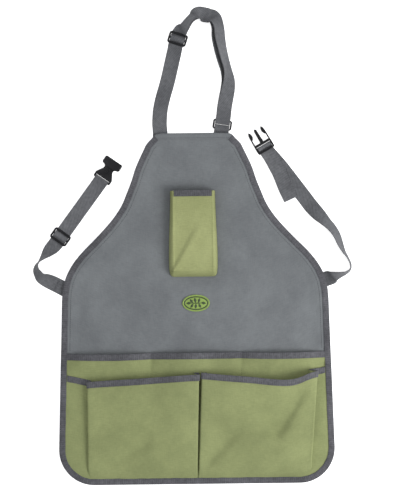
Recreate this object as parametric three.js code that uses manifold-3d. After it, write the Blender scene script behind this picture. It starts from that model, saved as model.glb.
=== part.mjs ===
// Gardening apron with a bib, lying on its back: cloth, binding tape, webbing and plastic buckles.
// Millimetres. +X across the apron, +Y from the hem towards the neck, +Z away from the back of the cloth.
// The origin lies on the flat back of the panel, on its centre line.
import * as THREE from 'three';
import { mergeVertices } from 'three/addons/utils/BufferGeometryUtils.js';
import Module from 'manifold-3d';

const wasm = await Module();
wasm.setup();

// Stock that the apron is cut from
const CLOTH = 1.0;
const TAPE = 1.0;
const TAPE_WIDTH = 10.5;
const WEB_WIDTH = 25;
const WEB = 1.2;
const GAP = 0.3;

// Panel
const TOP_Y = 260;
const HEM_Y = -336;
const BIB_HALF = 66;
const BIB_FLAT_HALF = 56;
const WAIST_HALF = 226.5;
const WAIST_Y = -24;
const HEM_HALF = 234;
const HEM_CORNER = 60;
const SEAM_MARGIN = 13;
const SEAM_SLOPE = 16;

// Pockets
const HOLSTER_LEFT = -42.5;
const HOLSTER_WIDTH = 80;
const HOLSTER_TOP = 161.5;
const HOLSTER_LENGTH = 145;
const HOLSTER_DEPTH = 16;
const POCKET_EDGE_MARGIN = 2.4;
const POCKET_HEM_MARGIN = 5;
const TOOL_MOUTH_Y = -114;
const TOOL_DIVISION_X = 77;
const TOOL_DEPTH = 11;
const FRONT_MOUTH_Y = -147;
const FRONT_LEFT_DEPTH = 17;
const FRONT_RIGHT_DEPTH = 24;
const MOUTH_TAPE_WIDTH = 10.5;

// Patch
const PATCH_WIDTH = 46;
const PATCH_HEIGHT = 28;
const PATCH_THICKNESS = 1.6;
const PATCH_X = 1.4;
const PATCH_Y = -29;

// Webbing fittings
const SLIDER_RAIL = 3.2;
const SLIDER_LENGTH = 21;
const SLIDER_BAR = 4.2;
const SLIDER_THICKNESS = 2.4;
const SLIDER_MIDDLE_BAR = 4.4;
const SLIDER_MIDDLE_THICKNESS = 1.7;
const SIDE_PLAY = 0.6;
const BAR_RADIUS = 1.6;
const RING_LENGTH = 17;
const SOCKET_LENGTH = 41;
const SOCKET_HALF_WIDTH = 16.2;
const SOCKET_HEAD_THICKNESS = 8.6;
const PLUG_HALF_WIDTH = 15.6;
const PRONG_LENGTH = 24;

// Places where webbing is sewn behind the panel
const NECK_ANCHOR_X = -56.5;
const TAB_ANCHOR_X = 46.5;
const WAIST_LEFT_ANCHOR_Y = -2;
const WAIST_RIGHT_ANCHOR_Y = 9;

// Reach of the straps as they lie
const NECK_REACH = 204;
const NECK_SPREAD = 100;
const ARMHOLE_WIDTH = WAIST_HALF - BIB_HALF;
const WAIST_LEFT_REACH = 210;
const WAIST_LEFT_SPREAD = 1.308 * ARMHOLE_WIDTH;
const WAIST_RIGHT_REACH = 240;
const WAIST_RIGHT_SPREAD = 1.495 * ARMHOLE_WIDTH;

const LOOP_RADIUS = BAR_RADIUS + GAP + WEB / 2;
const WEB_FLAT_Z = WEB / 2;
const WEB_SECOND_Z = WEB * 1.5 + GAP;

const COLORS = {
  panel: 0x6d7275,
  tape: 0x66646d,
  green: 0x8f9866,
  webbing: 0x68686c,
  plastic: 0x15151a,
  patch: 0x8fb04a,
};

// Small helpers

const clamp = (value, low, high) => Math.min(high, Math.max(low, value));
const lerp = (a, b, share) => a + (b - a) * share;
const radians = THREE.MathUtils.degToRad;
const upward = new THREE.Vector3(0, 0, 1);

function ease(share) {
  const s = clamp(share, 0, 1);
  return s * s * (3 - 2 * s);
}

function geometryFrom(positions, triangles) {
  const geometry = new THREE.BufferGeometry();
  geometry.setAttribute('position', new THREE.Float32BufferAttribute(positions, 3));
  geometry.setIndex(triangles);
  return geometry;
}

function solidOf(geometry) {
  const bare = geometry.clone();
  bare.deleteAttribute('normal');
  bare.deleteAttribute('uv');
  const merged = mergeVertices(bare, 1e-4);
  return new wasm.Manifold(new wasm.Mesh({
    numProp: 3,
    vertProperties: new Float32Array(merged.attributes.position.array),
    triVerts: new Uint32Array(merged.index.array),
  }));
}

function geometryOf(solid) {
  const mesh = solid.getMesh();
  return geometryFrom(Array.from(mesh.vertProperties), Array.from(mesh.triVerts));
}

function box(width, length, low, high, x = 0, y = 0) {
  const geometry = new THREE.BoxGeometry(width, length, high - low);
  return solidOf(geometry.translate(x, y, (low + high) / 2));
}

function extruded(points, low, high, bevel = 0) {
  const geometry = new THREE.ExtrudeGeometry(new THREE.Shape(points), {
    depth: high - low - 2 * bevel,
    bevelEnabled: bevel > 0,
    bevelThickness: bevel,
    bevelSize: bevel,
    bevelOffset: -bevel,
    bevelSegments: 1,
  });
  return solidOf(geometry.translate(0, 0, low + bevel));
}

// A solid swept through frames, each with an origin and two axes of its section. The profile is a
// closed polygon that runs anticlockwise when its first axis points right and its second up, seen
// with the sweep coming towards the eye.
function swept(frames, profile, closed = false) {
  const sides = profile.length;
  const positions = [];
  for (const frame of frames) {
    for (const [a, b] of profile) {
      positions.push(
        frame.origin.x + frame.a.x * a + frame.b.x * b,
        frame.origin.y + frame.a.y * a + frame.b.y * b,
        frame.origin.z + frame.a.z * a + frame.b.z * b,
      );
    }
  }
  const triangles = [];
  const spans = closed ? frames.length : frames.length - 1;
  for (let i = 0; i < spans; i += 1) {
    const here = i * sides;
    const next = ((i + 1) % frames.length) * sides;
    for (let j = 0; j < sides; j += 1) {
      const k = (j + 1) % sides;
      triangles.push(here + j, here + k, next + k, here + j, next + k, next + j);
    }
  }
  if (!closed) {
    const flat = profile.map(([a, b]) => new THREE.Vector2(a, b));
    const last = (frames.length - 1) * sides;
    for (const [p, q, r] of THREE.ShapeUtils.triangulateShape(flat, [])) {
      triangles.push(p, r, q, last + p, last + q, last + r);
    }
  }
  return outwardFacing(geometryFrom(positions, triangles));
}

// The same geometry with its faces turned outwards
function outwardFacing(geometry) {
  const p = geometry.attributes.position;
  const index = geometry.index.array;
  const [a, b, c] = [new THREE.Vector3(), new THREE.Vector3(), new THREE.Vector3()];
  let volume = 0;
  for (let i = 0; i < index.length; i += 3) {
    a.fromBufferAttribute(p, index[i]);
    b.fromBufferAttribute(p, index[i + 1]);
    c.fromBufferAttribute(p, index[i + 2]);
    volume += a.dot(b.cross(c));
  }
  if (volume < 0) {
    for (let i = 0; i < index.length; i += 3) {
      [index[i + 1], index[i + 2]] = [index[i + 2], index[i + 1]];
    }
  }
  return geometry;
}

// A cloth wall of even thickness round a grid of points. Each point is moved both ways along its
// fold's bisector, or straight up and down where the cloth lies flat.
function clothWall(grid, thickness, flat = false) {
  const normals = gridNormals(grid, flat);
  const rows = grid.length;
  const columns = grid[0].length;
  const positions = [];
  for (const side of [1, -1]) {
    for (let i = 0; i < rows; i += 1) {
      for (let j = 0; j < columns; j += 1) {
        const p = grid[i][j].clone().addScaledVector(normals[i][j], side * thickness / 2);
        positions.push(p.x, p.y, p.z);
      }
    }
  }
  const back = rows * columns;
  const triangles = [];
  const quad = (p, q, r, s) => triangles.push(p, q, r, p, r, s);
  for (let i = 0; i < rows - 1; i += 1) {
    for (let j = 0; j < columns - 1; j += 1) {
      const p = i * columns + j;
      quad(p, p + columns, p + columns + 1, p + 1);
      quad(back + p, back + p + 1, back + p + columns + 1, back + p + columns);
    }
  }
  const rim = [];
  for (let j = 0; j < columns - 1; j += 1) rim.push(j);
  for (let i = 0; i < rows - 1; i += 1) rim.push(i * columns + columns - 1);
  for (let j = columns - 1; j > 0; j -= 1) rim.push((rows - 1) * columns + j);
  for (let i = rows - 1; i > 0; i -= 1) rim.push(i * columns);
  rim.forEach((p, k) => {
    const q = rim[(k + 1) % rim.length];
    quad(p, q, back + q, back + p);
  });
  return outwardFacing(geometryFrom(positions, triangles));
}

const MITRE_LIMIT = 1.6;

function gridNormals(grid, flat) {
  return grid.map((row, i) => row.map((point, j) => {
    if (flat) return upward.clone();
    const above = grid[Math.max(i - 1, 0)][j];
    const below = grid[Math.min(i + 1, grid.length - 1)][j];
    const down = below.clone().sub(above);
    const faces = [];
    if (j > 0) faces.push(down.clone().cross(point.clone().sub(row[j - 1])).normalize());
    if (j < row.length - 1) faces.push(down.clone().cross(row[j + 1].clone().sub(point)).normalize());
    const bisector = faces.reduce((sum, face) => sum.add(face), new THREE.Vector3()).normalize();
    return bisector.multiplyScalar(Math.min(MITRE_LIMIT, 1 / Math.max(bisector.dot(faces[0]), 0.1)));
  }));
}

// Outline of the panel

// Armhole from the bib's corner to the waist: fall is a share of the bib's length, spread a share
// of the widening from the bib to the waist.
const ARMHOLE = [
  { fall: 0.009, spread: -0.005 },
  { fall: 0.031, spread: 0.030 },
  { fall: 0.064, spread: 0.086 },
  { fall: 0.104, spread: 0.122 },
  { fall: 0.155, spread: 0.166 },
  { fall: 0.210, spread: 0.208 },
  { fall: 0.282, spread: 0.250 },
  { fall: 0.352, spread: 0.299 },
  { fall: 0.425, spread: 0.354 },
  { fall: 0.497, spread: 0.436 },
  { fall: 0.568, spread: 0.542 },
  { fall: 0.640, spread: 0.664 },
  { fall: 0.712, spread: 0.790 },
  { fall: 0.784, spread: 0.890 },
  { fall: 0.856, spread: 0.955 },
  { fall: 0.928, spread: 0.988 },
  { fall: 1.000, spread: 1.000 },
];
// Heights along the straight side, where the layers under the binding change
const STEP_RUN = 9;
const TOOL_STEP_Y = TOOL_MOUTH_Y + STEP_RUN + 2;
const FRONT_STEP_Y = FRONT_MOUTH_Y + STEP_RUN + 11;
const CORNER_Y = HEM_Y + HEM_CORNER;
const SIDE_HEIGHTS = [
  lerp(WAIST_Y, TOOL_STEP_Y, 0.5),
  TOOL_STEP_Y,
  TOOL_STEP_Y - STEP_RUN,
  FRONT_STEP_Y,
  FRONT_STEP_Y - STEP_RUN,
  lerp(FRONT_MOUTH_Y, CORNER_Y, 0.15),
  lerp(FRONT_MOUTH_Y, CORNER_Y, 0.42),
  lerp(FRONT_MOUTH_Y, CORNER_Y, 0.71),
  CORNER_Y,
];
const CORNER_STEPS = 7;
const HEM_STEPS = 4;

function halfOutline() {
  const points = [new THREE.Vector2(0, TOP_Y), new THREE.Vector2(BIB_FLAT_HALF / 2, TOP_Y)];
  points.push(new THREE.Vector2(BIB_FLAT_HALF, TOP_Y));
  for (const { fall, spread } of ARMHOLE) {
    points.push(new THREE.Vector2(lerp(BIB_HALF, WAIST_HALF, spread), lerp(TOP_Y, WAIST_Y, fall)));
  }
  for (const y of SIDE_HEIGHTS) {
    const share = (y - WAIST_Y) / (CORNER_Y - WAIST_Y);
    points.push(new THREE.Vector2(lerp(WAIST_HALF, HEM_HALF, share), y));
  }
  for (let i = 1; i <= CORNER_STEPS; i += 1) {
    const turn = (Math.PI / 2) * (i / CORNER_STEPS);
    points.push(new THREE.Vector2(
      HEM_HALF - HEM_CORNER + HEM_CORNER * Math.cos(turn),
      CORNER_Y - HEM_CORNER * Math.sin(turn),
    ));
  }
  for (let i = 1; i <= HEM_STEPS; i += 1) {
    points.push(new THREE.Vector2((HEM_HALF - HEM_CORNER) * (1 - i / HEM_STEPS), HEM_Y));
  }
  return points;
}

const TOP_POINTS = 4;
const HALF = halfOutline();

// Moves each point of the half outline inwards, square to the edge
function insetHalf(inset) {
  return HALF.map((point, i) => {
    const before = i > 0 ? HALF[i - 1] : new THREE.Vector2(-HALF[1].x, HALF[1].y);
    const after = i < HALF.length - 1 ? HALF[i + 1] : new THREE.Vector2(-HALF[i - 1].x, HALF[i - 1].y);
    const into = point.clone().sub(before).normalize();
    const out = after.clone().sub(point).normalize();
    const edge = into.clone().add(out).normalize();
    const mitre = 1 / Math.max(edge.dot(into), 0.5);
    return new THREE.Vector2(point.x + edge.y * inset * mitre, point.y - edge.x * inset * mitre);
  });
}

// Half width of an outline at a height, where the outline falls from the bib's corner to the hem
function halfWidthAt(half, y) {
  let widest = 0;
  for (let i = 0; i < half.length - 1; i += 1) {
    const [p, q] = [half[i], half[i + 1]];
    if ((p.y - y) * (q.y - y) <= 0 && p.y !== q.y) {
      widest = Math.max(widest, lerp(p.x, q.x, (y - p.y) / (q.y - p.y)));
    }
  }
  return widest;
}

// How far off the outline is from a place in the panel, and the edge's lift there
function nearestEdge(x, y) {
  const at = new THREE.Vector3(Math.abs(x), y, 0);
  const foot = new THREE.Vector3();
  const nearest = { distance: Infinity, lift: 0 };
  const side = Math.sign(x);
  for (let i = 0; i < HALF.length - 1; i += 1) {
    const span = new THREE.Line3(
      new THREE.Vector3(HALF[i].x, HALF[i].y, 0),
      new THREE.Vector3(HALF[i + 1].x, HALF[i + 1].y, 0),
    );
    span.closestPointToPoint(at, true, foot);
    const distance = foot.distanceTo(at);
    if (distance < nearest.distance) {
      const share = span.closestPointToPointParameter(at, true);
      const lift = lerp(pointLift(HALF[i].y, side), pointLift(HALF[i + 1].y, side), share);
      Object.assign(nearest, { distance, lift });
    }
  }
  return nearest;
}

const edgeDistance = (x, y) => nearestEdge(x, y).distance;

// Webbing sewn behind the edge lifts it by its own thickness: all along the top, and at the waist.
// The lift is worked out at the outline's points and runs straight between them.
const LIFT = WEB + GAP;
const TOP_LIFT_FALL = 75;
const WAIST_LIFT_CORE = 17;
const WAIST_LIFT_FALL = 62;

function pointLift(y, side) {
  const anchorY = side < 0 ? WAIST_LEFT_ANCHOR_Y : WAIST_RIGHT_ANCHOR_Y;
  const top = 1 - (TOP_Y - TAPE_WIDTH - y) / TOP_LIFT_FALL;
  const waist = 1 - (Math.abs(y - anchorY) - WAIST_LIFT_CORE) / WAIST_LIFT_FALL;
  return LIFT * Math.max(clamp(top, 0, 1), clamp(waist, 0, 1));
}

// Height of the panel's underside: held up by the binding at its edge, flat on the floor inside
function panelUnder(x, y) {
  const edge = nearestEdge(x, y);
  const held = TAPE + GAP + edge.lift;
  return held * (1 - clamp((edge.distance - SEAM_MARGIN) / SEAM_SLOPE, 0, 1));
}

const panelMiddle = (x, y) => panelUnder(x, y) + CLOTH / 2;

function bodyPanel() {
  const edge = insetHalf(TAPE + GAP);
  const heights = [TOP_Y - TAPE - GAP];
  for (const point of edge.slice(TOP_POINTS)) {
    if (point.y < heights.at(-1) - 4 && point.y > HEM_Y + TAPE + GAP + 2) heights.push(point.y);
  }
  heights.push(HEM_Y + TAPE + GAP);
  const grid = heights.map((y) => {
    const half = halfWidthAt(edge, y);
    const inner = [half, half - SEAM_MARGIN, half - SEAM_MARGIN - SEAM_SLOPE * 1.2];
    const across = [...inner, inner[2] / 2];
    const xs = [...across.map((x) => -x), 0, ...across.toReversed()];
    return xs.map((x) => new THREE.Vector3(x, y, panelMiddle(x, y)));
  });
  return clothWall(grid, CLOTH, true);
}

// Tape folded over an edge: the underside of both plies lies at the edge's own height, and the
// upper ply stands above the layers that it holds.
function foldedTapeProfile(width, layers) {
  const height = 2 * TAPE + 2 * GAP + layers;
  const round = TAPE * 0.6;
  return [
    [width, 0], [width, TAPE], [TAPE, TAPE], [TAPE, height - TAPE], [width, height - TAPE],
    [width, height], [round, height], [0, height - round], [0, round], [round, 0],
  ];
}

// Frames for a tape along a run of outline points, its first axis pointing into the panel. Its
// profile is worked out for each point, because the layers under the tape change.
function foldedTape(points, inward, width, layersAt) {
  const frames = [];
  const profile = foldedTapeProfile(width, CLOTH);
  const positions = [];
  points.forEach((point, i) => {
    const lift = pointLift(point.y, Math.sign(point.x));
    const shape = foldedTapeProfile(width, layersAt(point));
    for (const [a, b] of shape) {
      positions.push(point.x + inward[i].x * a, point.y + inward[i].y * a, lift + b);
    }
    frames.push({ origin: new THREE.Vector3(), a: new THREE.Vector3(), b: upward });
  });
  const geometry = swept(frames, profile);
  geometry.setAttribute('position', new THREE.Float32BufferAttribute(positions, 3));
  return outwardFacing(geometry);
}

// Layers held by the binding: the panel alone, then the tool pocket, then a front pocket as well
function layersAt(point) {
  const sheet = CLOTH + GAP;
  const tool = clamp((TOOL_STEP_Y - point.y) / STEP_RUN, 0, 1);
  const front = clamp((FRONT_STEP_Y - point.y) / STEP_RUN, 0, 1);
  return CLOTH + sheet * tool + sheet * front;
}

function mirroredRun(half, from) {
  const right = half.slice(from);
  const left = right.slice(0, -1).map((point) => new THREE.Vector2(-point.x, point.y));
  return [...left, ...right.toReversed()];
}

function inwardAlong(from) {
  const shifted = insetHalf(1);
  const half = HALF.map((point, i) => shifted[i].clone().sub(point));
  return mirroredRun(half, from);
}

function edgeBinding() {
  return foldedTape(mirroredRun(HALF, TOP_POINTS - 1), inwardAlong(TOP_POINTS - 1), TAPE_WIDTH, layersAt);
}

function bibHem() {
  const corner = HALF[TOP_POINTS - 1];
  const mitre = inwardAlong(TOP_POINTS - 1)[0];
  const end = new THREE.Vector2(-corner.x, corner.y);
  const seam = new THREE.Vector2(-mitre.y, mitre.x).multiplyScalar(-GAP);
  const run = [
    { x: end.x - seam.x, y: end.y - seam.y, inward: mitre },
    { x: -BIB_FLAT_HALF, y: TOP_Y, inward: new THREE.Vector2(0.2, -1) },
  ];
  for (const share of [-0.6, -0.2]) {
    run.push({ x: BIB_FLAT_HALF * share, y: TOP_Y, inward: new THREE.Vector2(0, -1) });
  }
  const other = run.toReversed().map(({ x, y, inward }) => (
    { x: -x, y, inward: new THREE.Vector2(-inward.x, inward.y) }
  ));
  const points = [...run, ...other];
  return foldedTape(points, points.map((point) => point.inward), TAPE_WIDTH, () => CLOTH);
}

// Pockets

// Holster. Across the cloth: at is a share of its width, rise a share of its depth.
const HOLSTER_ACROSS = [
  { at: 0.000, rise: 0.00 },
  { at: 0.012, rise: 0.42 },
  { at: 0.050, rise: 0.90 },
  { at: 0.105, rise: 1.00 },
  { at: 0.260, rise: 1.02 },
  { at: 0.420, rise: 1.04 },
  { at: 0.580, rise: 1.04 },
  { at: 0.740, rise: 1.02 },
  { at: 0.900, rise: 1.00 },
  { at: 0.962, rise: 0.88 },
  { at: 0.990, rise: 0.42 },
  { at: 1.000, rise: 0.00 },
];
// Down the holster: down is a share of its length, tuck pulls its sides in as a share of its width
const HOLSTER_DOWN = [
  { down: 0.000, rise: 1.00, tuck: 0.000 },
  { down: 0.090, rise: 1.00, tuck: 0.000 },
  { down: 0.260, rise: 0.97, tuck: -0.004 },
  { down: 0.430, rise: 0.95, tuck: -0.008 },
  { down: 0.600, rise: 0.92, tuck: -0.010 },
  { down: 0.760, rise: 0.88, tuck: -0.010 },
  { down: 0.880, rise: 0.84, tuck: -0.008 },
  { down: 0.935, rise: 0.76, tuck: 0.000 },
  { down: 0.968, rise: 0.52, tuck: 0.010 },
  { down: 0.988, rise: 0.24, tuck: 0.030 },
  { down: 1.000, rise: 0.00, tuck: 0.070 },
];
const HOLSTER_CREASE = 1.6;

// The soft crease that runs from the lower left corner up across the face
function holsterCrease(across, down) {
  const along = (1 - down) + (across - 0.02) * 0.1;
  const centre = lerp(0.04, 0.62, clamp(along / 0.62, 0, 1));
  const near = Math.exp(-(((across - centre) / 0.12) ** 2));
  return -HOLSTER_CREASE * near * ease((0.62 - along) / 0.2);
}

function holsterGrid() {
  const base = CLOTH + GAP + CLOTH / 2;
  return HOLSTER_DOWN.map((row) => HOLSTER_ACROSS.map((column) => {
    const side = (0.5 - column.at) * 2 * row.tuck;
    const x = HOLSTER_LEFT + HOLSTER_WIDTH * (column.at + side);
    const y = HOLSTER_TOP - HOLSTER_LENGTH * row.down;
    const rise = column.rise * row.rise;
    return new THREE.Vector3(x, y, base + HOLSTER_DEPTH * rise + holsterCrease(column.at, row.down) * rise);
  }));
}

// Tape over a pocket's mouth: one ply down the outer face and a lip over the raw edge. It follows
// the first row of the pocket's grid from one named column to another.
function mouthTape(grid, first, last, width) {
  const normals = gridNormals(grid, false);
  const frames = [];
  for (let j = first; j <= last; j += 1) {
    frames.push({
      origin: grid[0][j],
      a: grid[1][j].clone().sub(grid[0][j]).normalize(),
      b: normals[0][j],
    });
  }
  const outer = CLOTH / 2 + 1.6 * GAP;
  return swept(frames, [
    [-GAP - TAPE, -CLOTH / 2], [-GAP, -CLOTH / 2], [-GAP, outer], [width, outer],
    [width, outer + TAPE], [-GAP - TAPE, outer + TAPE],
  ]);
}

// The wide tool pocket. Its sides run under the binding, its three compartments stand open.
const TOOL_DOWN = [0, 0.065, 0.15, 0.28, 0.44, 0.6, 0.75];
const COMPARTMENTS = [
  { name: 'left', puff: 1.0 },
  { name: 'middle', puff: 0.82 },
  { name: 'right', puff: 0.91 },
];
const COMPARTMENT_COLUMNS = [0.07, 0.2, 0.38, 0.62, 0.8, 0.93];

const pocketEdge = insetHalf(POCKET_EDGE_MARGIN);
const tapeInnerEdge = insetHalf(TAPE_WIDTH + 1);

// Rows that a pocket needs near the hem's round corners, down to its lower edge
function cornerHeights() {
  const low = HEM_Y + POCKET_HEM_MARGIN;
  const covered = HEM_Y + TAPE_WIDTH + 1;
  return [CORNER_Y, HEM_Y + HEM_CORNER * 0.66, HEM_Y + HEM_CORNER * 0.4, covered, low];
}

// Sides of a pocket row: its edge under the binding, and the line where it comes out from under it
function sideStops(y) {
  const edge = halfWidthAt(pocketEdge, y);
  const inner = Math.max(halfWidthAt(tapeInnerEdge, y), edge - 2 * TAPE_WIDTH);
  return { edge, inner: Math.min(inner, edge - 2) };
}

const openness = (x, y) => clamp((edgeDistance(x, y) - TAPE_WIDTH - 1) / (2 * TAPE_WIDTH), 0, 1);

function toolMiddle(x, y) {
  const base = panelMiddle(x, y) + CLOTH + GAP;
  const limits = sideStops(y);
  const bounds = [-limits.inner, -TOOL_DIVISION_X, TOOL_DIVISION_X, limits.inner];
  const slot = COMPARTMENTS.findIndex((_, k) => x <= bounds[k + 1]);
  if (slot < 0 || x < bounds[0]) return base;
  const at = (x - bounds[slot]) / (bounds[slot + 1] - bounds[slot]);
  const arch = Math.sin(Math.PI * clamp(at, 0, 1)) ** 0.6;
  const fall = lerp(1, 0.3, ease((TOOL_MOUTH_Y - y) / (TOOL_MOUTH_Y - FRONT_MOUTH_Y) / 1.4));
  return base + TOOL_DEPTH * COMPARTMENTS[slot].puff * arch * fall * openness(x, y) ** 0.7;
}

function toolGrid() {
  const straight = TOOL_MOUTH_Y - HEM_Y - HEM_CORNER;
  const heights = TOOL_DOWN.map((share) => TOOL_MOUTH_Y - straight * share * 1.12);
  heights.push(...cornerHeights());
  return heights.map((y) => {
    const { edge, inner } = sideStops(y);
    const bounds = [-inner, -TOOL_DIVISION_X, TOOL_DIVISION_X, inner];
    const xs = [-edge];
    COMPARTMENTS.forEach((_, slot) => {
      xs.push(bounds[slot]);
      for (const at of COMPARTMENT_COLUMNS) xs.push(lerp(bounds[slot], bounds[slot + 1], at));
    });
    xs.push(inner, edge);
    return xs.map((x) => new THREE.Vector3(x, y, toolMiddle(x, y)));
  });
}

// Front pockets. Columns run across the cloth, through the pleats: top and foot are the places of a
// column at the mouth and at the hem as shares of the apron's half width, drop is how far the mouth
// hangs there as a share of the pocket's length, rise a share of the pocket's depth.
const FRONT_LEFT = [
  { name: 'gusset', top: -0.870, foot: -0.850, drop: 0.035, rise: 0.22 },
  { name: 'valley', top: -0.757, foot: -0.794, drop: 0.066, rise: 0.34 },
  { name: 'fold', top: -0.787, foot: -0.789, drop: 0.076, rise: 0.80 },
  { name: 'face', top: -0.752, foot: -0.760, drop: 0.070, rise: 0.93 },
  { name: 'face', top: -0.620, foot: -0.620, drop: 0.060, rise: 1.00 },
  { name: 'face', top: -0.460, foot: -0.460, drop: 0.050, rise: 1.02 },
  { name: 'face', top: -0.300, foot: -0.300, drop: 0.038, rise: 1.02 },
  { name: 'face', top: -0.150, foot: -0.155, drop: 0.027, rise: 1.00 },
  { name: 'face', top: -0.045, foot: -0.045, drop: 0.020, rise: 0.97 },
  { name: 'fold', top: 0.009, foot: -0.012, drop: 0.018, rise: 0.88 },
  { name: 'valley', top: -0.030, foot: -0.006, drop: 0.006, rise: 0.44 },
  { name: 'seam', top: 0.014, foot: 0.002, drop: 0.003, rise: 0.00 },
];
const FRONT_RIGHT = [
  { name: 'seam', top: 0.040, foot: 0.015, drop: 0.003, rise: 0.00 },
  { name: 'valley', top: 0.086, foot: 0.021, drop: 0.004, rise: 0.40 },
  { name: 'fold', top: 0.048, foot: 0.027, drop: 0.002, rise: 0.66 },
  { name: 'face', top: 0.100, foot: 0.065, drop: 0.008, rise: 0.76 },
  { name: 'face', top: 0.240, foot: 0.220, drop: 0.024, rise: 0.90 },
  { name: 'face', top: 0.400, foot: 0.390, drop: 0.040, rise: 1.00 },
  { name: 'face', top: 0.550, foot: 0.540, drop: 0.062, rise: 1.05 },
  { name: 'face', top: 0.670, foot: 0.660, drop: 0.068, rise: 1.03 },
  { name: 'face', top: 0.745, foot: 0.730, drop: 0.050, rise: 0.97 },
  { name: 'face', top: 0.800, foot: 0.790, drop: 0.022, rise: 0.90 },
  { name: 'face', top: 0.850, foot: 0.820, drop: 0.002, rise: 0.84 },
  { name: 'fold', top: 0.886, foot: 0.845, drop: -0.006, rise: 0.80 },
  { name: 'valley', top: 0.816, foot: 0.852, drop: -0.014, rise: 0.29 },
  { name: 'gusset', top: 0.900, foot: 0.880, drop: -0.026, rise: 0.13 },
];
// Down a front pocket: down is a share of the way from the mouth to the hem's round corner
const FRONT_DOWN = [
  { down: 0.00, rise: 1.00 },
  { down: 0.11, rise: 0.99 },
  { down: 0.30, rise: 0.93 },
  { down: 0.52, rise: 0.86 },
  { down: 0.76, rise: 0.78 },
];

// A front pocket from its columns, with its side running under the binding on one side
function frontGrid(columns, depth, side, sag) {
  const length = FRONT_MOUTH_Y - HEM_Y;
  const lows = cornerHeights();
  const shares = [...FRONT_DOWN.map((row) => row.rise), 0.7, 0.62, 0.52, 0, 0];
  return shares.map((rowRise, i) => {
    const onStraight = i < FRONT_DOWN.length;
    const heightFor = (drop) => {
      const mouth = FRONT_MOUTH_Y - drop * length;
      return onStraight ? lerp(mouth, CORNER_Y, FRONT_DOWN[i].down) : lows[i - FRONT_DOWN.length];
    };
    const outermost = side < 0 ? 0 : columns.length - 1;
    const points = columns.map((column, k) => {
      const y = heightFor(column.drop);
      const fallen = (FRONT_MOUTH_Y - y) / length;
      const limit = sideStops(y).inner - 1.5 * (1 + Math.abs(k - outermost));
      const free = HEM_HALF * lerp(column.top, column.foot, clamp(fallen, 0, 1));
      const x = side * Math.min(side * free, limit);
      const rise = depth * column.rise * rowRise * openness(x, y) ** 0.5;
      const floor = toolMiddle(x, y) + CLOTH + GAP + 2 * GAP * openness(x, y);
      const face = CLOTH * 2 + rise + (column.name === 'face' ? sag(column, fallen) * rise : 0);
      return new THREE.Vector3(x, y, Math.max(floor, face));
    });
    const edgeDrop = side < 0 ? 0.004 : -0.042;
    const innerDrop = side < 0 ? 0.018 : -0.036;
    const [yEdge, yInner] = [heightFor(edgeDrop), heightFor(innerDrop)];
    const edge = new THREE.Vector3(side * sideStops(yEdge).edge, yEdge, 0);
    const inner = new THREE.Vector3(side * sideStops(yInner).inner, yInner, 0);
    for (const point of [edge, inner]) point.z = toolMiddle(point.x, point.y) + CLOTH + GAP;
    return side < 0 ? [edge, inner, ...points] : [...points, inner, edge];
  });
}

// Soft dents in the pocket faces, as shares of the rise there
const leftSag = (column, fallen) => -0.10 * Math.sin(Math.PI * clamp(fallen, 0, 1))
  * Math.exp(-(((column.top + 0.42) / 0.22) ** 2));
const rightSag = (column, fallen) => -0.16 * Math.exp(-(((column.top - 0.56) / 0.16) ** 2))
  * Math.exp(-(((fallen - 0.5) / 0.22) ** 2));

// Patch: an oval plate with a raised thread rim

function emblemPatch() {
  const steps = 24;
  const frames = [];
  for (let i = 0; i < steps; i += 1) {
    const turn = (2 * Math.PI * i) / steps;
    frames.push(new THREE.Vector2(PATCH_WIDTH / 2 * Math.cos(turn), PATCH_HEIGHT / 2 * Math.sin(turn)));
  }
  const low = CLOTH + GAP;
  const plate = extruded(frames, low, low + PATCH_THICKNESS, PATCH_THICKNESS * 0.3);
  return geometryOf(plate.translate([PATCH_X, PATCH_Y, 0]));
}

// Webbing

// Stations of a strap: x and y of its middle, across is the compass angle from its outer edge to its
// inner one in degrees, tilt how far the inner edge is raised, above what lies under its lower edge.
function strapFrames(stations) {
  const turns = stations.map((station) => {
    const flat = radians(station.across);
    const tilt = radians(station.tilt ?? 0);
    return new THREE.Vector3(
      Math.cos(flat) * Math.cos(tilt), Math.sin(flat) * Math.cos(tilt), Math.sin(tilt),
    );
  });
  const centres = stations.map((station) => {
    const tilt = radians(Math.abs(station.tilt ?? 0));
    const resting = (WEB_WIDTH / 2) * Math.sin(tilt) + (WEB / 2) * Math.cos(tilt);
    return new THREE.Vector3(station.x, station.y, station.z ?? resting + (station.above ?? 0));
  });
  return centres.map((origin, i) => {
    const before = centres[Math.max(i - 1, 0)];
    const after = centres[Math.min(i + 1, centres.length - 1)];
    const along = after.clone().sub(before).normalize();
    const a = turns[i].clone();
    const b = a.clone().cross(along).normalize();
    return { origin, a, b };
  });
}

function strap(stations) {
  const w = WEB_WIDTH / 2;
  const t = WEB / 2;
  return swept(strapFrames(stations), [[-w, -t], [w, -t], [w, t], [-w, t]]);
}

// Rounds off a short table of stations with a smooth curve through them
function smoothed(stations, steps) {
  const curve = new THREE.CatmullRomCurve3(
    stations.map(({ x, y }) => new THREE.Vector3(x, y, 0)), false, 'centripetal',
  );
  const result = [];
  const spans = stations.length - 1;
  for (let i = 0; i <= spans * steps; i += 1) {
    const at = i / steps;
    const k = Math.min(Math.floor(at), spans - 1);
    const share = at - k;
    const point = curve.getPoint(at / spans);
    const blend = (key) => lerp(stations[k][key] ?? 0, stations[k + 1][key] ?? 0, share);
    result.push({
      x: point.x,
      y: point.y,
      across: blend('across'),
      tilt: blend('tilt'),
      above: blend('above'),
    });
  }
  return result;
}

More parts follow.
